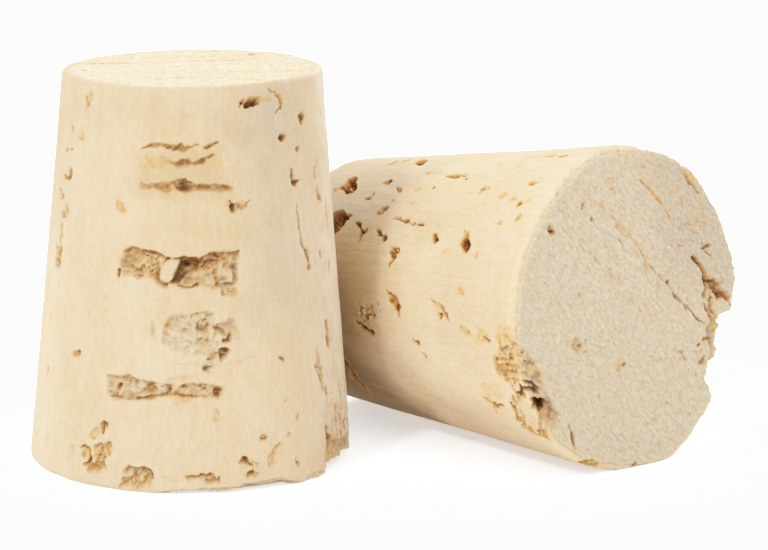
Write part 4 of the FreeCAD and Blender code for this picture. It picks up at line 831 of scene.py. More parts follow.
class Stopper:
    """One stopper's mesh in arrays. Each vertex has a place, an outward normal and a direction inwards."""

    def __init__(self, seed):
        self.noise = Noise(seed)
        self.random = np.random.default_rng(seed + 1)
        self.columns = 4 * GRID
        rows = profile()
        self.rows = len(rows)
        turn = -math.pi / 4 + 2 * math.pi * np.arange(self.columns) / self.columns
        around = np.stack([np.cos(turn), np.sin(turn)], 1)
        side = np.empty((self.rows, self.columns, 3))
        side[:, :, :2] = rows[:, None, :1] * around[None]
        side[:, :, 2] = rows[:, 1:]
        disc = disc_grid()
        low = np.column_stack([disc * (LARGE - RIM), np.zeros(len(disc))])
        high = np.column_stack([disc * (SMALL - RIM), np.full(len(disc), LENGTH)])
        self.points = np.concatenate([side.reshape(-1, 3), low, high])
        self.side_count = self.rows * self.columns
        self.end_count = len(disc)
        self.face = np.repeat([0, 1, 2], [self.side_count, self.end_count, self.end_count])
        self.normals = self.outward(rows)
        self.inward = self.inward_directions()
        self.bearing = np.degrees(np.arctan2(self.points[:, 0], -self.points[:, 1]))
        self.height = self.points[:, 2].copy()
        self.carve = np.zeros(len(self.points))
        self.stain = np.zeros(len(self.points))
        # Painted light and shade: what each vertex's red, green and blue are times.
        self.tint = np.ones((len(self.points), 3))
        self.relief = np.zeros(len(self.points))
        self.spread = np.zeros(len(self.points))
        self.lift = np.zeros(len(self.points))
        self.end = self.end_share()

    def outward(self, rows):
        """Outward normals: square to the profile on the side, along the axis on the ends."""
        slope = np.gradient(rows, axis=0)
        normal = np.stack([slope[:, 1], -slope[:, 0]], 1)
        normal /= np.linalg.norm(normal, axis=1)[:, None]
        ring = self.points[: self.columns, :2]
        around = ring / np.linalg.norm(ring, axis=1)[:, None]
        side = np.empty((self.rows, self.columns, 3))
        side[:, :, :2] = normal[:, None, :1] * around[None]
        side[:, :, 2] = normal[:, 1:]
        down = np.tile([0.0, 0.0, -1.0], (self.end_count, 1))
        return np.concatenate([side.reshape(-1, 3), down, -down])

    def inward_directions(self):
        """Straight in from the middle of each face, slanting in near the rims so that cuts never cross."""
        radius = np.linalg.norm(self.points[:, :2], axis=1)
        height = self.points[:, 2]
        edge = side_radius(height)
        to_radius = np.minimum(radius, edge - INNER) - radius
        to_height = np.clip(height, INNER, LENGTH - INNER) - height
        flat = self.points[:, :2] / np.maximum(radius, 1e-6)[:, None]
        inward = np.column_stack([flat * to_radius[:, None], to_height])
        return inward / np.linalg.norm(inward, axis=1)[:, None]

    def end_share(self):
        """1 on the sawn ends, 0 on the side, and between them round the rims."""
        inset = side_radius(self.points[:, 2]) - np.linalg.norm(self.points[:, :2], axis=1)
        return smooth(0.45, 0.95, np.abs(self.normals[:, 2])) * smooth(-0.1, 0.9, inset)

    def flat(self, spot, at):
        """Each vertex's place round a spot, laid flat in millimetres, u to the right and v up from outside,
        and whether the vertex lies on the spot's surface."""
        if spot in ("side", "rim"):
            turn = (self.bearing - at[0] + 180) % 360 - 180
            if spot == "side":
                return np.radians(turn) * side_radius(at[1]), self.height - at[1], self.face == 0
            inset = side_radius(self.height) - np.linalg.norm(self.points[:, :2], axis=1)
            near_rim = (self.face < 2) & (self.height < INNER * 2)
            return np.radians(turn) * LARGE, self.height - inset - at[1], near_rim
        face = 1 if spot == "large" else 2
        u = self.points[:, 0] - at[0]
        v = self.points[:, 1] - at[1]
        rim = (self.face == 0) & (np.abs(self.height - (0 if face == 1 else LENGTH)) < RIM * 2)
        return u, v, (self.face == face) | rim

    def lay_out(self, f, margin):
        """The vertices near a drawn feature, their flat places, and the feature's points laid flat too."""
        points = np.array(f.points, float)
        middle = points.mean(axis=0)
        u, v, here = self.flat(f.spot, middle)
        scales = {"side": math.radians(1) * side_radius(middle[1]), "rim": math.radians(1) * LARGE}
        path = (points - middle) * (scales.get(f.spot, 1.0), 1.0)
        low = path.min(0) - margin
        high = path.max(0) + margin
        chosen = np.flatnonzero(here & (u > low[0]) & (u < high[0]) & (v > low[1]) & (v < high[1]))
        return chosen, np.column_stack([u[chosen], v[chosen]]), path

    def apply(self, feature):
        """Cut one feature."""
        getattr(self, "cut_" + feature.kind)(feature)

    def darken(self, chosen, stain):
        """Stain the chosen vertices, unless they are darker already."""
        self.stain[chosen] = np.maximum(self.stain[chosen], stain)

    def cut_pit(self, f):
        """A ragged rounded hollow with a few arms, and crumbs left in it."""
        u, v, here = self.flat(f.spot, f.at)
        reach = max(f.size) * 0.9 + 0.6
        chosen = np.flatnonzero(here & (np.abs(u) < reach) & (np.abs(v) < reach))
        u, v = u[chosen], v[chosen]
        lean = math.radians(f.lean)
        across = u * math.cos(lean) + v * math.sin(lean)
        along = v * math.cos(lean) - u * math.sin(lean)
        half = (f.size[0] / 2, f.size[1] / 2)
        ring = ((np.abs(across) / half[0]) ** BOXY + (np.abs(along) / half[1]) ** BOXY) ** (1 / BOXY)
        places = self.points[chosen]
        arms = smooth(0.1, 0.0, np.abs(self.noise.layered(places + 60, SEAM_GRAIN, 2)))
        arms *= smooth(2.2, 1.0, ring)
        edge = self.noise.layered(places, EDGE_GRAIN["pit"])
        ragged = ring + min(0.7, f.jag / min(half)) * edge - 0.45 * arms
        inside = smooth(1.05, 1.05 - f.wall, ragged)
        crumbs = 1.4 * self.noise.layered(places + 20, CRUMB_GRAIN, 2)
        deep = f.deep * inside * np.clip(1 - f.crumbs * (0.5 + crumbs), 0.05, 1.3)
        self.carve[chosen] = np.maximum(self.carve[chosen], deep)
        halo = HALO * smooth(1.7, 0.9, ragged)
        self.darken(chosen, f.stain * np.maximum(inside * self.speckle(places), halo))

    def speckle(self, places):
        """How a stain varies from place to place, about 1."""
        return np.clip(0.88 + 0.4 * self.noise.layered(places + 40, STAIN_GRAIN, 2), 0.3, 1.2)

    def cut_crack(self, f):
        """A wandering slit that tapers towards both its ends."""
        chosen, flat, path = self.lay_out(f, f.gap + 0.6)
        places = self.points[chosen]
        drift = [self.noise.layered(places + move, PATH_GRAIN) for move in (0, 15)]
        flat = flat + f.wander * np.column_stack(drift)
        lengths = np.linalg.norm(np.diff(path, axis=0), axis=1)
        nearest = np.full(len(chosen), 1e9)
        share = np.zeros(len(chosen))
        travelled = 0.0
        for start, end, length in zip(path[:-1], path[1:], lengths):
            along, distance = distance_to_line(flat, start, end)
            closer = distance < nearest
            nearest = np.where(closer, distance, nearest)
            share = np.where(closer, (travelled + along * length) / lengths.sum(), share)
            travelled += length
        taper = np.sqrt(np.clip(4 * share * (1 - share), 0, 1)) * 0.75 + 0.25
        varied = np.clip(1 + f.swell * self.noise.layered(places + 30, WIDTH_GRAIN, 2), 0.25, 1.8)
        half = np.maximum(f.gap / 2 * taper * varied, 0.03)
        inside = smooth(1.35, 0.45, nearest / half)
        self.carve[chosen] = np.maximum(self.carve[chosen], f.deep * inside * np.minimum(taper * varied, 1.2))
        halo = HALO * smooth(3.0, 1.0, nearest / half)
        self.darken(chosen, f.stain * np.maximum(inside * self.speckle(places), halo))

    def cut_patch(self, f):
        """A hollow with sloping edges, an uneven floor and seams across it."""
        chosen, flat, outline = self.lay_out(f, 0.6 + f.wall / 2)
        places = self.points[chosen]
        within = distance_inside(flat, outline) + f.jag * self.noise.layered(places, EDGE_GRAIN["patch"])
        inside = smooth(-f.wall / 2, f.wall / 2, within)
        seams = smooth(0.12, 0.0, np.abs(self.noise.layered(places + 60, SEAM_GRAIN, 2)))
        uneven = self.noise.layered(places + 20, FLOOR_GRAIN) + 0.8 * seams - 0.2
        floor = np.maximum(f.deep + min(f.deep, 0.35) * np.clip(f.rough * uneven, -0.9, 1.0), 0)
        self.carve[chosen] = np.maximum(self.carve[chosen], inside * floor)
        dark = self.speckle(places) + 0.6 * f.rough * seams
        halo = HALO * smooth(-0.3, 0.0, within)
        self.darken(chosen, f.stain * np.maximum(smooth(0, 0.6, inside) * dark, halo))

    def cut_chip(self, f):
        """A flat piece that stands at its own level, whatever has been cut there before."""
        chosen, flat, outline = self.lay_out(f, 0.4)
        places = self.points[chosen]
        within = distance_inside(flat, outline) + 0.05 * self.noise.layered(places, EDGE_GRAIN["chip"])
        inside = smooth(-0.06, 0.06, within)
        level = f.level + flat @ np.array(f.slope) + f.rough * self.noise.layered(places + 20, CHIP_GRAIN)
        self.carve[chosen] = self.carve[chosen] * (1 - inside) + level * inside
        self.stain[chosen] = self.stain[chosen] * (1 - inside) + f.stain * self.speckle(places) * inside

    def cut_lump(self, f):
        """A rounded crumb on what has been cut there before."""
        u, v, here = self.flat(f.spot, f.at)
        reach = max(f.size)
        chosen = np.flatnonzero(here & (np.abs(u) < reach) & (np.abs(v) < reach))
        lean = math.radians(f.lean)
        u, v = u[chosen], v[chosen]
        across = (u * math.cos(lean) + v * math.sin(lean)) / (f.size[0] / 2)
        along = (v * math.cos(lean) - u * math.sin(lean)) / (f.size[1] / 2)
        ring = np.hypot(across, along) + 0.2 * self.noise.layered(self.points[chosen], EDGE_GRAIN["lump"])
        rise = np.sqrt(np.clip(1 - ring * ring, 0, 1))
        self.carve[chosen] -= f.lift * rise
        self.stain[chosen] *= 1 - f.clean * smooth(0.0, 0.5, rise)

    def cut_tint(self, f):
        """No shape, only painted light and shade in the colour."""
        chosen, flat, outline = self.lay_out(f, f.wall)
        edge = self.noise.layered(self.points[chosen], EDGE_GRAIN["tint"])
        within = distance_inside(flat, outline) + 0.1 * f.wall * edge
        share = smooth(-f.wall / 2, f.wall / 2, within)
        self.tint[chosen] *= 1 + share[:, None] * (np.array(f.times) - 1)

    def cut_swell(self, f):
        """The side moves out, and the ends with it near their rims."""
        turn = np.abs((self.bearing - f.at[0] + 180) % 360 - 180)
        radius = np.linalg.norm(self.points[:, :2], axis=1)
        share = smooth(f.reach[0], 0, turn) * smooth(f.reach[1], 0, np.abs(self.height - f.at[1]))
        self.spread += f.rise * share * (radius / side_radius(self.height)) ** 4

    def wear(self, grain_turn, rounding):
        """What every stopper has: slight waves, a ground side, sawn ends with a nap, and worn rims."""
        places = self.points
        side = 1 - self.end
        waves = WAVE * self.noise(places, WAVE_GRAIN) + RIPPLE * self.noise(places + 9, RIPPLE_GRAIN)
        ground = GROUND * self.noise.layered(places, GROUND_GRAIN, 2)
        turn = math.radians(grain_turn)
        along = places[:, 0] * math.cos(turn) + places[:, 1] * math.sin(turn)
        across = places[:, 1] * math.cos(turn) - places[:, 0] * math.sin(turn)
        bent = np.column_stack([along, across + 0.4 * self.noise(places, 2.5), places[:, 2]])
        nap = NAP * self.noise.layered(bent, NAP_GRAIN, 2)
        self.relief += side * (waves + ground) + self.end * (0.5 * waves + nap)
        from_rim = np.where(
            self.face == 0,
            np.minimum(self.height, LENGTH - self.height),
            side_radius(self.height) - np.linalg.norm(places[:, :2], axis=1),
        )
        uneven = WEAR * self.noise.layered(places + 5, WEAR_GRAIN, 3)
        loss = np.clip(rounding + uneven, 0, DEEPEST_WEAR)
        self.carve = np.maximum(self.carve, loss * smooth(WEAR_REACH * loss + 0.05, 0.0, from_rim))

    def tilt_end(self, lift, slope):
        """Raise the small end by lift and tip it up towards +X by slope."""
        share = smooth(LENGTH * 0.6, LENGTH, self.height)
        self.lift = share * (lift + slope * self.points[:, 0])

    def place(self):
        """The finished places of the vertices, in millimetres, in the stopper's own frame."""
        torn = TORN * self.noise.layered(self.points + 80, TORN_GRAIN, 2) * smooth(0.0, 0.3, self.carve)
        cut = self.inward * (self.carve + torn)[:, None]
        places = self.points + self.normals * self.relief[:, None] + cut
        radius = np.maximum(np.linalg.norm(self.points[:, :2], axis=1), 1e-6)
        places[:, :2] += self.points[:, :2] / radius[:, None] * self.spread[:, None]
        places[:, 2] += self.lift
        return places

    def quads(self):
        """Four vertex numbers for each face, wound so that they face outwards."""
        row = np.arange(self.rows - 1)[:, None] * self.columns
        column = np.arange(self.columns)[None]
        following = (column + 1) % self.columns
        side = np.stack([
            row + column, row + following, row + self.columns + following, row + self.columns + column
        ], -1).reshape(-1, 4)
        low = self.end_quads(self.side_count, 0)
        high = self.end_quads(self.side_count + self.end_count, (self.rows - 1) * self.columns)
        return np.concatenate([side, low, high[:, ::-1]])

    def end_quads(self, inner_start, rim_start):
        """The quads of one end, whose outermost vertices are a row of the side."""
        n = GRID
        grid = np.empty((n + 1, n + 1), int)
        grid[1:n, 1:n] = inner_start + np.arange((n - 1) ** 2).reshape(n - 1, n - 1)
        steps = np.arange(n)
        grid[n, steps] = rim_start + steps
        grid[n - steps, n] = rim_start + n + steps
        grid[0, n - steps] = rim_start + 2 * n + steps
        grid[steps, 0] = rim_start + 3 * n + steps
        corners = [grid[:-1, :-1], grid[:-1, 1:], grid[1:, 1:], grid[1:, :-1]]
        return np.stack(corners, -1).reshape(-1, 4)

    def unwrap(self, quads):
        """A flat layout for baking: the side as two strips, the ends as discs beside them."""
        margin = SHEET_GAP
        strip = math.pi * LARGE
        uv = np.empty((len(quads), 4, 2))
        side = (self.rows - 1) * self.columns
        column = np.tile(np.arange(self.columns), self.rows - 1)
        half = column // (2 * GRID)
        left = (column % (2 * GRID)) / (2 * GRID) * strip
        right = left + strip / (2 * GRID)
        across = np.stack([left, right, right, left], 1) + margin
        up = self.points[quads[:side], 2] + margin + half[:, None] * (LENGTH + margin)
        uv[:side] = np.stack([across, up], -1)
        ends = quads[side:]
        middle = len(ends) // 2
        large_at = (strip + 2 * margin + LARGE, margin + LARGE)
        small_at = (strip + 2 * margin + LARGE, 2 * margin + 2 * LARGE + SMALL)
        uv[side : side + middle] = self.points[ends[:middle], :2] + large_at
        uv[side + middle :] = self.points[ends[middle:], :2] + small_at
        return uv.reshape(-1, 2) / SHEET


def build_mesh(name, stopper, matrix):
    """The Blender object of a stopper, in the row frame in metres, with the values its material reads."""
    quads = stopper.quads()
    places = stopper.place() * MM
    turned = places @ np.array(matrix.to_3x3()).T + np.array(matrix.translation)
    # Soft cork settles flat on the floor instead of sinking into it.
    turned[:, 2] = np.maximum(turned[:, 2], 0)
    mesh = bpy.data.meshes.new(name)
    mesh.vertices.add(len(turned))
    mesh.vertices.foreach_set("co", turned.astype(np.float32).ravel())
    mesh.loops.add(quads.size)
    mesh.loops.foreach_set("vertex_index", quads.astype(np.int32).ravel())
    mesh.polygons.add(len(quads))
    mesh.polygons.foreach_set("loop_start", np.arange(0, quads.size, 4, dtype=np.int32))
    mesh.update(calc_edges=True)
    mesh.polygons.foreach_set("use_smooth", np.ones(len(quads), bool))
    layer = mesh.uv_layers.new(name="OFBake")
    layer.data.foreach_set("uv", stopper.unwrap(quads).astype(np.float32).ravel())
    for label, values in (("stain", stopper.stain), ("end", stopper.end)):
        attribute = mesh.attributes.new(label, "FLOAT", "POINT")
        attribute.data.foreach_set("value", values.astype(np.float32))
    # The tint attribute carries the painted light and shade of the tint patches.
    for label, values in (("own", places / MM), ("tint", stopper.tint)):
        attribute = mesh.attributes.new(label, "FLOAT_VECTOR", "POINT")
        attribute.data.foreach_set("vector", values.astype(np.float32).ravel())
    mesh.validate()
    piece = bpy.data.objects.new(name, mesh)
    bpy.context.scene.collection.objects.link(piece)
    return piece


# ---------------------------------------------------------------- the cork's material


class Nodes:
    """Short calls for building a material's nodes."""

    def __init__(self, material):
        material.use_nodes = True
        self.tree = material.node_tree
        self.tree.nodes.clear()

    def add(self, kind, **inputs):
        node = self.tree.nodes.new(kind)
        for name, value in inputs.items():
            self.set(node, name, value)
        return node

    def set(self, node, name, value):
        """Link or set an input, given by its name or, after an underscore, by its number."""
        socket = node.inputs[int(name[1:])] if name[0] == "_" else node.inputs[name.replace("_", " ")]
        if isinstance(value, bpy.types.NodeSocket):
            self.tree.links.new(value, socket)
        else:
            socket.default_value = value

    def attribute(self, name):
        node = self.add("ShaderNodeAttribute")
        node.attribute_name = name
        return node.outputs["Vector" if name in ("own", "tint") else "Fac"]

    def math(self, operation, first, second=0.0, third=0.0):
        node = self.add("ShaderNodeMath", _0=first, _1=second, _2=third)
        node.operation = operation
        return node.outputs[0]

    def scaled(self, vector, scale, turn=(0, 0, 0)):
        node = self.add("ShaderNodeMapping", Vector=vector, Scale=scale, Rotation=turn)
        return node.outputs[0]

    def noise(self, vector, scale, detail=3.0, roughness=0.55):
        node = self.add("ShaderNodeTexNoise", Vector=vector, Scale=scale, Detail=detail, Roughness=roughness)
        return node.outputs["Fac"]

    def span(self, value, low, high, to_low=0.0, to_high=1.0):
        node = self.add("ShaderNodeMapRange", Value=value)
        node.inputs["From Min"].default_value = low
        node.inputs["From Max"].default_value = high
        node.inputs["To Min"].default_value = to_low
        node.inputs["To Max"].default_value = to_high
        return node.outputs[0]

    def mix(self, share, first, second):
        node = self.tree.nodes.new("ShaderNodeMix")
        node.data_type = "RGBA"
        self.set(node, "_0", share)
        self.set(node, "_6", first)
        self.set(node, "_7", second)
        return node.outputs[2]

    def vector(self, operation, first, second):
        node = self.add("ShaderNodeVectorMath", _0=first, _1=second)
        node.operation = operation
        return node.outputs[0]

    def lit(self, tint, share):
        """A colour made lighter or darker."""
        node = self.tree.nodes.new("ShaderNodeVectorMath")
        node.operation = "SCALE"
        self.set(node, "_0", tint)
        self.set(node, "Scale", share)
        return node.outputs[0]

    def vivid(self, tint, share):
        """A colour with more or less of its colour strength."""
        node = self.add("ShaderNodeHueSaturation", Color=tint, Saturation=share)
        return node.outputs["Color"]

    def ramp(self, value, stops):
        node = self.add("ShaderNodeValToRGB", Fac=value)
        ramp = node.color_ramp
        while len(ramp.elements) < len(stops):
            ramp.elements.new(0.5)
        for element, (place, colour) in zip(ramp.elements, stops):
            element.position = place
            element.color = colour
        return node.outputs["Color"]


def colour(red, green, blue):
    """A colour given as 8-bit screen values, as the linear values Blender takes."""
    def linear(value):
        part = value / 255
        return part / 12.92 if part <= 0.04045 else ((part + 0.055) / 1.055) ** 2.4

    return (linear(red), linear(green), linear(blue), 1.0)


SKIN = colour(178, 158, 130)
SKIN_WARM = colour(174, 147, 112)
SKIN_PALE = colour(183, 168, 144)
END_SKIN = colour(190, 171, 143)
END_FIBRE = colour(164, 138, 102)
END_DULL = colour(163, 151, 129)
STAIN_GREY = colour(172, 144, 110)
STAIN_STOPS = (
    (0.0, colour(178, 158, 130)),
    (0.18, colour(175, 141, 91)),
    (0.4, colour(158, 112, 56)),
    (0.65, colour(121, 72, 22)),
    (1.0, colour(66, 29, 4)),
)


# How fine each pattern is, in lumps a millimetre: one number, or one for each way.
CLOUDS = 0.22
STREAKS = (2.2, 2.2, 0.09)
THREADS = (7.0, 7.0, 0.35)
MOTTLE = (1.0, 1.0, 0.6)
FIBRES = (1.3, 4.0, 2.0)
BANDS = (0.05, 0.7, 0.05)
SPECKS = (2.6, 2.6, 1.3)
GRIT = 3.4
SAWN_GRIT = (1.7, 4.4, 3.0)
FINE = 6.5
# How each pattern is used: the two values in it that count, and what they are turned into.
CLOUD_USE = (0.35, 0.7, 0.0, 0.45)
STREAK_USE = (0.45, 0.75, 0.0, 0.35)
MOTTLE_USE = (0.45, 0.7, 0.0, 0.35)
THREAD_USE = (0.52, 0.75, 0.0, 0.4)
FIBRE_USE = (0.5, 0.68, 0.0, 0.75)
BAND_USE = (0.5, 0.72, 0.0, 0.5)
SPECK_USE = (0.7, 0.82, 0.0, 0.3)
GRIT_USE = (0.32, 0.68, -1.0, 1.0)
FINE_USE = (0.3, 0.7, 0.5, 1.45)
STAIN_USE = (0.02, 0.25)
# What differs between the side and the ends, in that order: how strong the grit is, how much of it follows
# the grain, how vivid the stains are, and how high the grit stands.
GRIT_STRENGTH = (0.07, 0.33)
GRIT_ALONG = (0.0, 0.6)
STAIN_VIVID = (1.0, 0.9)
GRIT_HEIGHT = (0.35, 1.3)
# How high the threads stand, and the finest grit on clean cork and in a stain.
THREAD_HEIGHT = 0.35
FINE_HEIGHT = (0.2, 1.6)
# How matte the cork is, how much it shines, and its finest relief in metres.
MATTE = (0.72, 0.92)
SHINE = 0.12
BUMP_STRENGTH = 0.6
BUMP_DEPTH = 0.00012


def cork_material(name, grain_turn, end_dull, shade, faded):
    """Natural cork. grain_turn: the way the growth lines run across the ends. end_dull: how grey they are.
    shade: how light the side and the ends are. faded: how far the stains have turned to a greyish tan.
    """
    material = bpy.data.materials.new(name)
    nodes = Nodes(material)
    own = nodes.attribute("own")
    end = nodes.attribute("end")
    stain = nodes.attribute("stain")
    turn = (0, 0, -math.radians(grain_turn))
    grained = nodes.scaled(own, (1, 1, 1), turn)

    # The side: broad warm clouds, warm streaks and pale threads along the axis, and a warm mottle.
    clouds = nodes.noise(own, CLOUDS, 3.0)
    streaks = nodes.noise(nodes.scaled(own, STREAKS), 1.0, 4.0, 0.65)
    threads = nodes.noise(nodes.scaled(own, THREADS), 1.0, 2.0)
    mottle = nodes.noise(nodes.scaled(own, MOTTLE), 1.0, 4.0, 0.65)
    warm = nodes.span(clouds, *CLOUD_USE)
    warm = nodes.math("ADD", warm, nodes.span(streaks, *STREAK_USE))
    warm = nodes.math("ADD", warm, nodes.span(mottle, *MOTTLE_USE))
    side_colour = nodes.mix(warm, SKIN, SKIN_WARM)
    side_colour = nodes.mix(nodes.span(threads, *THREAD_USE), side_colour, SKIN_PALE)

    # The sawn ends: short fibres along the grain over growth bands.
    fibres = nodes.noise(nodes.scaled(grained, FIBRES), 1.0, 3.0, 0.6)
    bands = nodes.noise(nodes.scaled(grained, BANDS), 1.0, 3.0)
    end_colour = nodes.mix(end_dull, END_SKIN, END_DULL)
    end_colour = nodes.mix(nodes.span(fibres, *FIBRE_USE), end_colour, END_FIBRE)
    end_colour = nodes.mix(nodes.span(bands, *BAND_USE), end_colour, SKIN_WARM)
    # The painted light and shade of the tint patches multiplies the colour here.
    skin = nodes.vector("MULTIPLY", nodes.mix(end, side_colour, end_colour), nodes.attribute("tint"))

    # Fine grit all over, stronger on the sawn ends and drawn out along their grain.
    even = nodes.noise(own, GRIT, 4.0, 0.75)
    sawn = nodes.noise(nodes.scaled(grained, SAWN_GRIT), 1.0, 4.0, 0.85)
    grit = nodes.mix(nodes.span(end, 0.0, 1.0, *GRIT_ALONG), even, sawn)
    strength = nodes.span(end, 0.0, 1.0, *GRIT_STRENGTH)
    share = nodes.math("MULTIPLY_ADD", nodes.span(grit, *GRIT_USE), strength, 1.0)
    skin = nodes.lit(skin, share)

    # Specks and stains. Fine noise breaks up the edges of the stains.
    fine = nodes.noise(own, FINE, 3.0, 0.75)
    broken = nodes.math("MULTIPLY", stain, nodes.span(fine, *FINE_USE))
    specks = nodes.noise(nodes.scaled(own, SPECKS), 1.0, 2.0)
    specked = nodes.math("MAXIMUM", broken, nodes.span(specks, *SPECK_USE))
    stained = nodes.mix(faded, nodes.ramp(specked, STAIN_STOPS), STAIN_GREY)
    stained = nodes.vivid(stained, nodes.span(end, 0.0, 1.0, *STAIN_VIVID))
    base = nodes.mix(nodes.span(specked, *STAIN_USE), skin, stained)
    base = nodes.lit(base, nodes.span(end, 0.0, 1.0, *shade))

    shader = nodes.add("ShaderNodeBsdfPrincipled", Base_Color=base)
    nodes.set(shader, "Roughness", nodes.span(streaks, 0.3, 0.7, *MATTE))
    shader.inputs["Specular IOR Level"].default_value = SHINE
    height = nodes.math("MULTIPLY", fibres, end)
    height = nodes.math("ADD", height, nodes.math("MULTIPLY", threads, THREAD_HEIGHT))
    grit_height = nodes.span(end, 0.0, 1.0, *GRIT_HEIGHT)
    height = nodes.math("ADD", height, nodes.math("MULTIPLY", grit, grit_height))
    fine_height = nodes.span(stain, 0.0, 0.5, *FINE_HEIGHT)
    height = nodes.math("ADD", height, nodes.math("MULTIPLY", fine, fine_height))
    bump = nodes.add("ShaderNodeBump", Height=height, Strength=BUMP_STRENGTH)
    bump.inputs["Distance"].default_value = BUMP_DEPTH
    nodes.set(shader, "Normal", bump.outputs[0])
    output = nodes.add("ShaderNodeOutputMaterial", Surface=shader.outputs[0])
    output.is_active_output = True
    return material


# ---------------------------------------------------------------- the two stoppers


# Ranges for the pores and slits on the sides that the photograph doesn't show, in millimetres and degrees.
HIDDEN_PORES = 90
PORES_PER_SLIT = 6
PORE_EDGE = 1.0
PORE_SCALE = (0.4, 1.0)
PORE_LEAST = 0.3
PORE_WIDE = 1.2
PORE_TALL = 0.8
PORE_DEEP = (0.1, 0.6)
PORE_JAG = 0.15
PORE_STAIN = (0.25, 0.85)
PORE_LEAN = (-40, 40)
SLIT_STEPS = (0.0, 0.35, 0.7, 1.0)
SLIT_RUN = (4, 16)
SLIT_WAVE = (-0.4, 0.4)
SLIT_GAP = (0.25, 0.6)
SLIT_DEEP = (0.2, 0.6)
SLIT_STAIN = (0.4, 0.8)
# Growth lines: their half length as a share of the chord, their bow, width, depth, stain and wander.
LINE_REACH = 0.9
LINE_BOW = 0.35
LINE_GAP = 0.2
LINE_DEEP = 0.05
LINE_STAIN = 0.16
LINE_STAIN_STEP = 0.06
LINE_WANDER = 0.25
# Each stopper has its own seed, for its noise and its hidden pores.
UPRIGHT_SEED = 11
LYING_SEED = 41


def scatter(stopper, bearings, count):
    """Seeded pores on the stretch of side between two bearings, and a few long slits across it."""
    features = []
    draw = stopper.random.uniform
    for number in range(count):
        at = (draw(*bearings), draw(PORE_EDGE, LENGTH - PORE_EDGE))
        scale = draw(*PORE_SCALE) ** 2
        wide = PORE_LEAST + PORE_WIDE * scale * draw(0.5, 1.0)
        tall = PORE_LEAST + PORE_TALL * scale * draw(0.4, 1.0)
        deep = PORE_DEEP[0] + PORE_DEEP[1] * scale
        features.append(pit(at, (wide, tall), deep, draw(*PORE_STAIN), lean=draw(*PORE_LEAN), jag=PORE_JAG))
        if number % PORES_PER_SLIT == 0:
            run = draw(*SLIT_RUN)
            points = [(at[0] + run * t, at[1] + draw(*SLIT_WAVE)) for t in SLIT_STEPS]
            features.append(crack(points, draw(*SLIT_GAP), draw(*SLIT_DEEP), draw(*SLIT_STAIN)))
    return features


def growth_lines(spot, turn, offsets, radius):
    """Faint growth lines across a sawn end: slightly bowed chords at offsets from its middle."""
    features = []
    run = np.array((math.cos(math.radians(turn)), math.sin(math.radians(turn))))
    square = np.array((-run[1], run[0]))
    steps = np.linspace(-1, 1, 7)
    for number, offset in enumerate(offsets):
        half = math.sqrt(radius**2 - offset**2) * LINE_REACH
        points = [tuple(square * (offset + LINE_BOW * (1 - t * t)) + run * half * t) for t in steps]
        stain = LINE_STAIN + LINE_STAIN_STEP * (number % 3)
        features.append(crack(points, LINE_GAP, LINE_DEEP, stain, wander=LINE_WANDER))
    return on(spot, *features)


def make_stopper(node, features, matrix, seed, hidden, hidden_end, look, rounding, tilt):
    """Build one stopper in place of its CAD node.

    hidden: the bearings between which no feature is written. hidden_end: the end that isn't seen, the offsets
    of its growth lines and its radius. look: what cork_material takes. rounding: how worn its rims are.
    tilt: how much its small end is raised and tipped.
    """
    stopper = Stopper(seed)
    stopper.tilt_end(*tilt)
    stopper.wear(look["grain_turn"], rounding)
    spot, offsets, radius = hidden_end
    for feature in growth_lines(spot, look["grain_turn"], offsets, radius):
        stopper.apply(feature)
    for feature in scatter(stopper, hidden, HIDDEN_PORES):
        stopper.apply(feature)
    for feature in features:
        stopper.apply(feature)
    name = node + "_cork"
    piece = build_mesh(name, stopper, matrix)
    piece.data.materials.append(cork_material(name, **look))
    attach(piece, node)
    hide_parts(node)


make_stopper(
    "upright_stopper",
    UPRIGHT_FEATURES,
    Matrix.Identity(4),
    seed=UPRIGHT_SEED,
    hidden=(88, 280),
    hidden_end=("large", (-9, -6.2, -3.6, -1, 1.8, 4.4, 7, 9.6), LARGE),
    look={"grain_turn": 6, "end_dull": 0.0, "shade": (0.865, 1.02), "faded": 0.22},
    rounding=0.02,
    tilt=(0.07, 0.022),
)
make_stopper(
    "lying_stopper",
    LYING_FEATURES,
    lying_matrix(),
    seed=LYING_SEED,
    hidden=(5, 205),
    hidden_end=("small", (-6.8, -4.2, -1.6, 1.1, 3.8, 6.4), SMALL),
    look={"grain_turn": 45, "end_dull": 0.9, "shade": (1.03, 0.87), "faded": 0.0},
    rounding=0.26,
    tilt=(0.0, 0.0),
)


# ---------------------------------------------------------------- stage, light and camera

# The key light: degrees round from the viewer and above the horizon, metres, and watts.
KEY_BEARING = -32.5
KEY_HEIGHT = 37.0
KEY_DISTANCE = 0.7
KEY_SIZE = 0.065
KEY_POWER = 2.25
KEY_TINT = (1.0, 0.975, 0.925)
# The light from all round: its colour and strengths.
WORLD_TINT = (0.97, 0.99, 1.03, 1.0)
WORLD_LIGHT = 1.17
WORLD_RIGHT_LIGHT = 0.3
WORLD_TOP_LIGHT = 1.7
# The floor: its half width in metres, its colour, its darkest mottle, how matte it is and how it glows.
FLOOR_HALF = 4.0
FLOOR_TINT = (0.93, 0.93, 0.94, 1.0)
FLOOR_MOTTLE = 0.985
FLOOR_ROUGHNESS = 0.9
FLOOR_GLOW = 0.48
# The tone curve: what light is shown as what grey, and the light shown as white.
TONE_WHITE = 2.0
TONE_POINTS = ((0.2, 0.2), (0.4, 0.4), (0.7, 0.66), (1.0, 0.84), (1.35, 0.955), (1.7, 1.0))
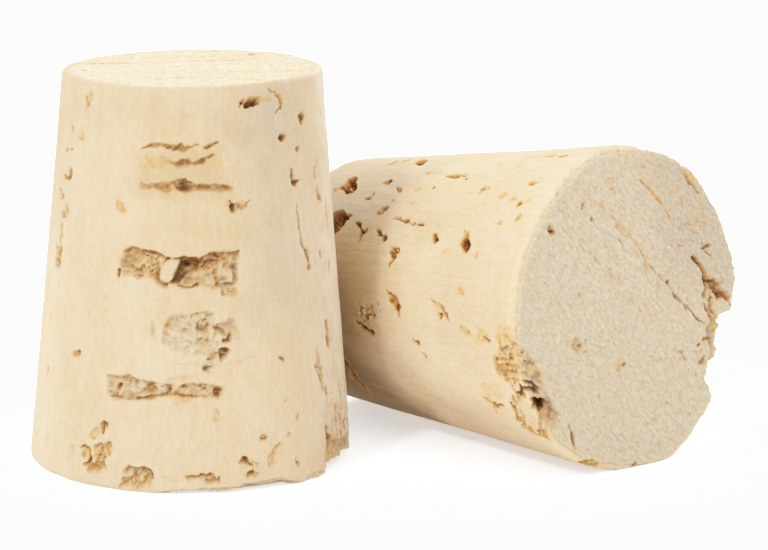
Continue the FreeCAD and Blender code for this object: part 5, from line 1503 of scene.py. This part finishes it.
# The camera: degrees, lens in millimetres, and metres.
CAMERA_PITCH = 12.18
CAMERA_ROLL = 0.945
CAMERA_LENS = 157.7
CAMERA_AWAY = 0.24955
CAMERA_AIM = (0.01425, 0.0, 0.01375)


def plain_material(name, tint, roughness, glow):
    """A plain stage surface with a very faint mottle, lit a little from within like a light table."""
    material = bpy.data.materials.new(name)
    nodes = Nodes(material)
    place = nodes.add("ShaderNodeTexCoord").outputs["Object"]
    mottle = nodes.noise(place, 3.0, 2.0)
    darker = tuple(part * FLOOR_MOTTLE for part in tint[:3]) + (1.0,)
    base = nodes.mix(mottle, tint, darker)
    shader = nodes.add("ShaderNodeBsdfPrincipled", Base_Color=base, Roughness=roughness)
    shader.inputs["Emission Color"].default_value = tint
    shader.inputs["Emission Strength"].default_value = glow
    nodes.add("ShaderNodeOutputMaterial", Surface=shader.outputs[0])
    return material


def add_floor():
    """A large pale floor under the stoppers."""
    half = FLOOR_HALF
    mesh = bpy.data.meshes.new("floor")
    corners = [(-half, -half, 0), (half, -half, 0), (half, half, 0), (-half, half, 0)]
    mesh.from_pydata(corners, [], [(0, 1, 2, 3)])
    floor = bpy.data.objects.new("floor", mesh)
    bpy.context.scene.collection.objects.link(floor)
    mesh.materials.append(plain_material("floor", FLOOR_TINT, FLOOR_ROUGHNESS, FLOOR_GLOW))


def add_light(name, bearing, height, distance, size, power, tint, target):
    """A soft square light that faces the target from a bearing and a height above the horizon."""
    data = bpy.data.lights.new(name, "AREA")
    data.size = size
    data.energy = power
    data.color = tint
    light = bpy.data.objects.new(name, data)
    turn, rise = math.radians(bearing), math.radians(height)
    out = Vector((math.sin(turn) * math.cos(rise), -math.cos(turn) * math.cos(rise), math.sin(rise)))
    light.location = target + out * distance
    light.rotation_mode = "QUATERNION"
    light.rotation_quaternion = (-out).to_track_quat("-Z", "Y")
    bpy.context.scene.collection.objects.link(light)


def add_world():
    """Pale light from all round, stronger from above and a little stronger from the right."""
    world = bpy.data.worlds.new("studio")
    world.use_nodes = True
    links = world.node_tree.links
    nodes = world.node_tree.nodes
    background = nodes["Background"]
    background.inputs["Color"].default_value = WORLD_TINT
    split = nodes.new("ShaderNodeSeparateXYZ")
    links.new(nodes.new("ShaderNodeTexCoord").outputs["Generated"], split.inputs[0])
    rise = nodes.new("ShaderNodeMapRange")
    rise.interpolation_type = "SMOOTHSTEP"
    rise.inputs["To Min"].default_value = WORLD_LIGHT
    rise.inputs["To Max"].default_value = WORLD_LIGHT + WORLD_TOP_LIGHT
    links.new(split.outputs["Z"], rise.inputs["Value"])
    right = nodes.new("ShaderNodeMapRange")
    right.inputs["To Max"].default_value = WORLD_RIGHT_LIGHT
    links.new(split.outputs["X"], right.inputs["Value"])
    both = nodes.new("ShaderNodeMath")
    links.new(rise.outputs[0], both.inputs[0])
    links.new(right.outputs[0], both.inputs[1])
    links.new(both.outputs[0], background.inputs["Strength"])
    bpy.context.scene.world = world


def add_camera():
    """The photograph's viewpoint: a long lens, a little above the stoppers and very slightly rolled."""
    data = bpy.data.cameras.new("camera")
    data.lens = CAMERA_LENS
    data.clip_start = 0.01
    data.clip_end = 20.0
    camera = bpy.data.objects.new("camera", data)
    pitch, roll = math.radians(CAMERA_PITCH), math.radians(CAMERA_ROLL)
    forward = Vector((0, math.cos(pitch), -math.sin(pitch)))
    level = Vector((1, 0, 0))
    raised = level.cross(forward)
    right = level * math.cos(roll) + raised * math.sin(roll)
    up = right.cross(forward)
    turned = Matrix((right, up, -forward)).transposed()
    camera.rotation_mode = "QUATERNION"
    camera.rotation_quaternion = turned.to_quaternion()
    camera.location = Vector(CAMERA_AIM) - forward * CAMERA_AWAY
    bpy.context.scene.collection.objects.link(camera)
    bpy.context.scene.camera = camera


def set_tone():
    """A plain view with softly rolled off highlights, as a camera gives."""
    view = bpy.context.scene.view_settings
    view.view_transform = "Standard"
    view.use_curve_mapping = True
    tone = view.curve_mapping
    tone.white_level = (TONE_WHITE, TONE_WHITE, TONE_WHITE)
    curve = tone.curves[3]
    for light, shown in TONE_POINTS:
        curve.points.new(light / TONE_WHITE, shown)
    tone.update()


middle = (cad_low + cad_high) / 2
add_floor()
add_world()
add_light("key", KEY_BEARING, KEY_HEIGHT, KEY_DISTANCE, KEY_SIZE, KEY_POWER, KEY_TINT, middle)
add_camera()
set_tone()
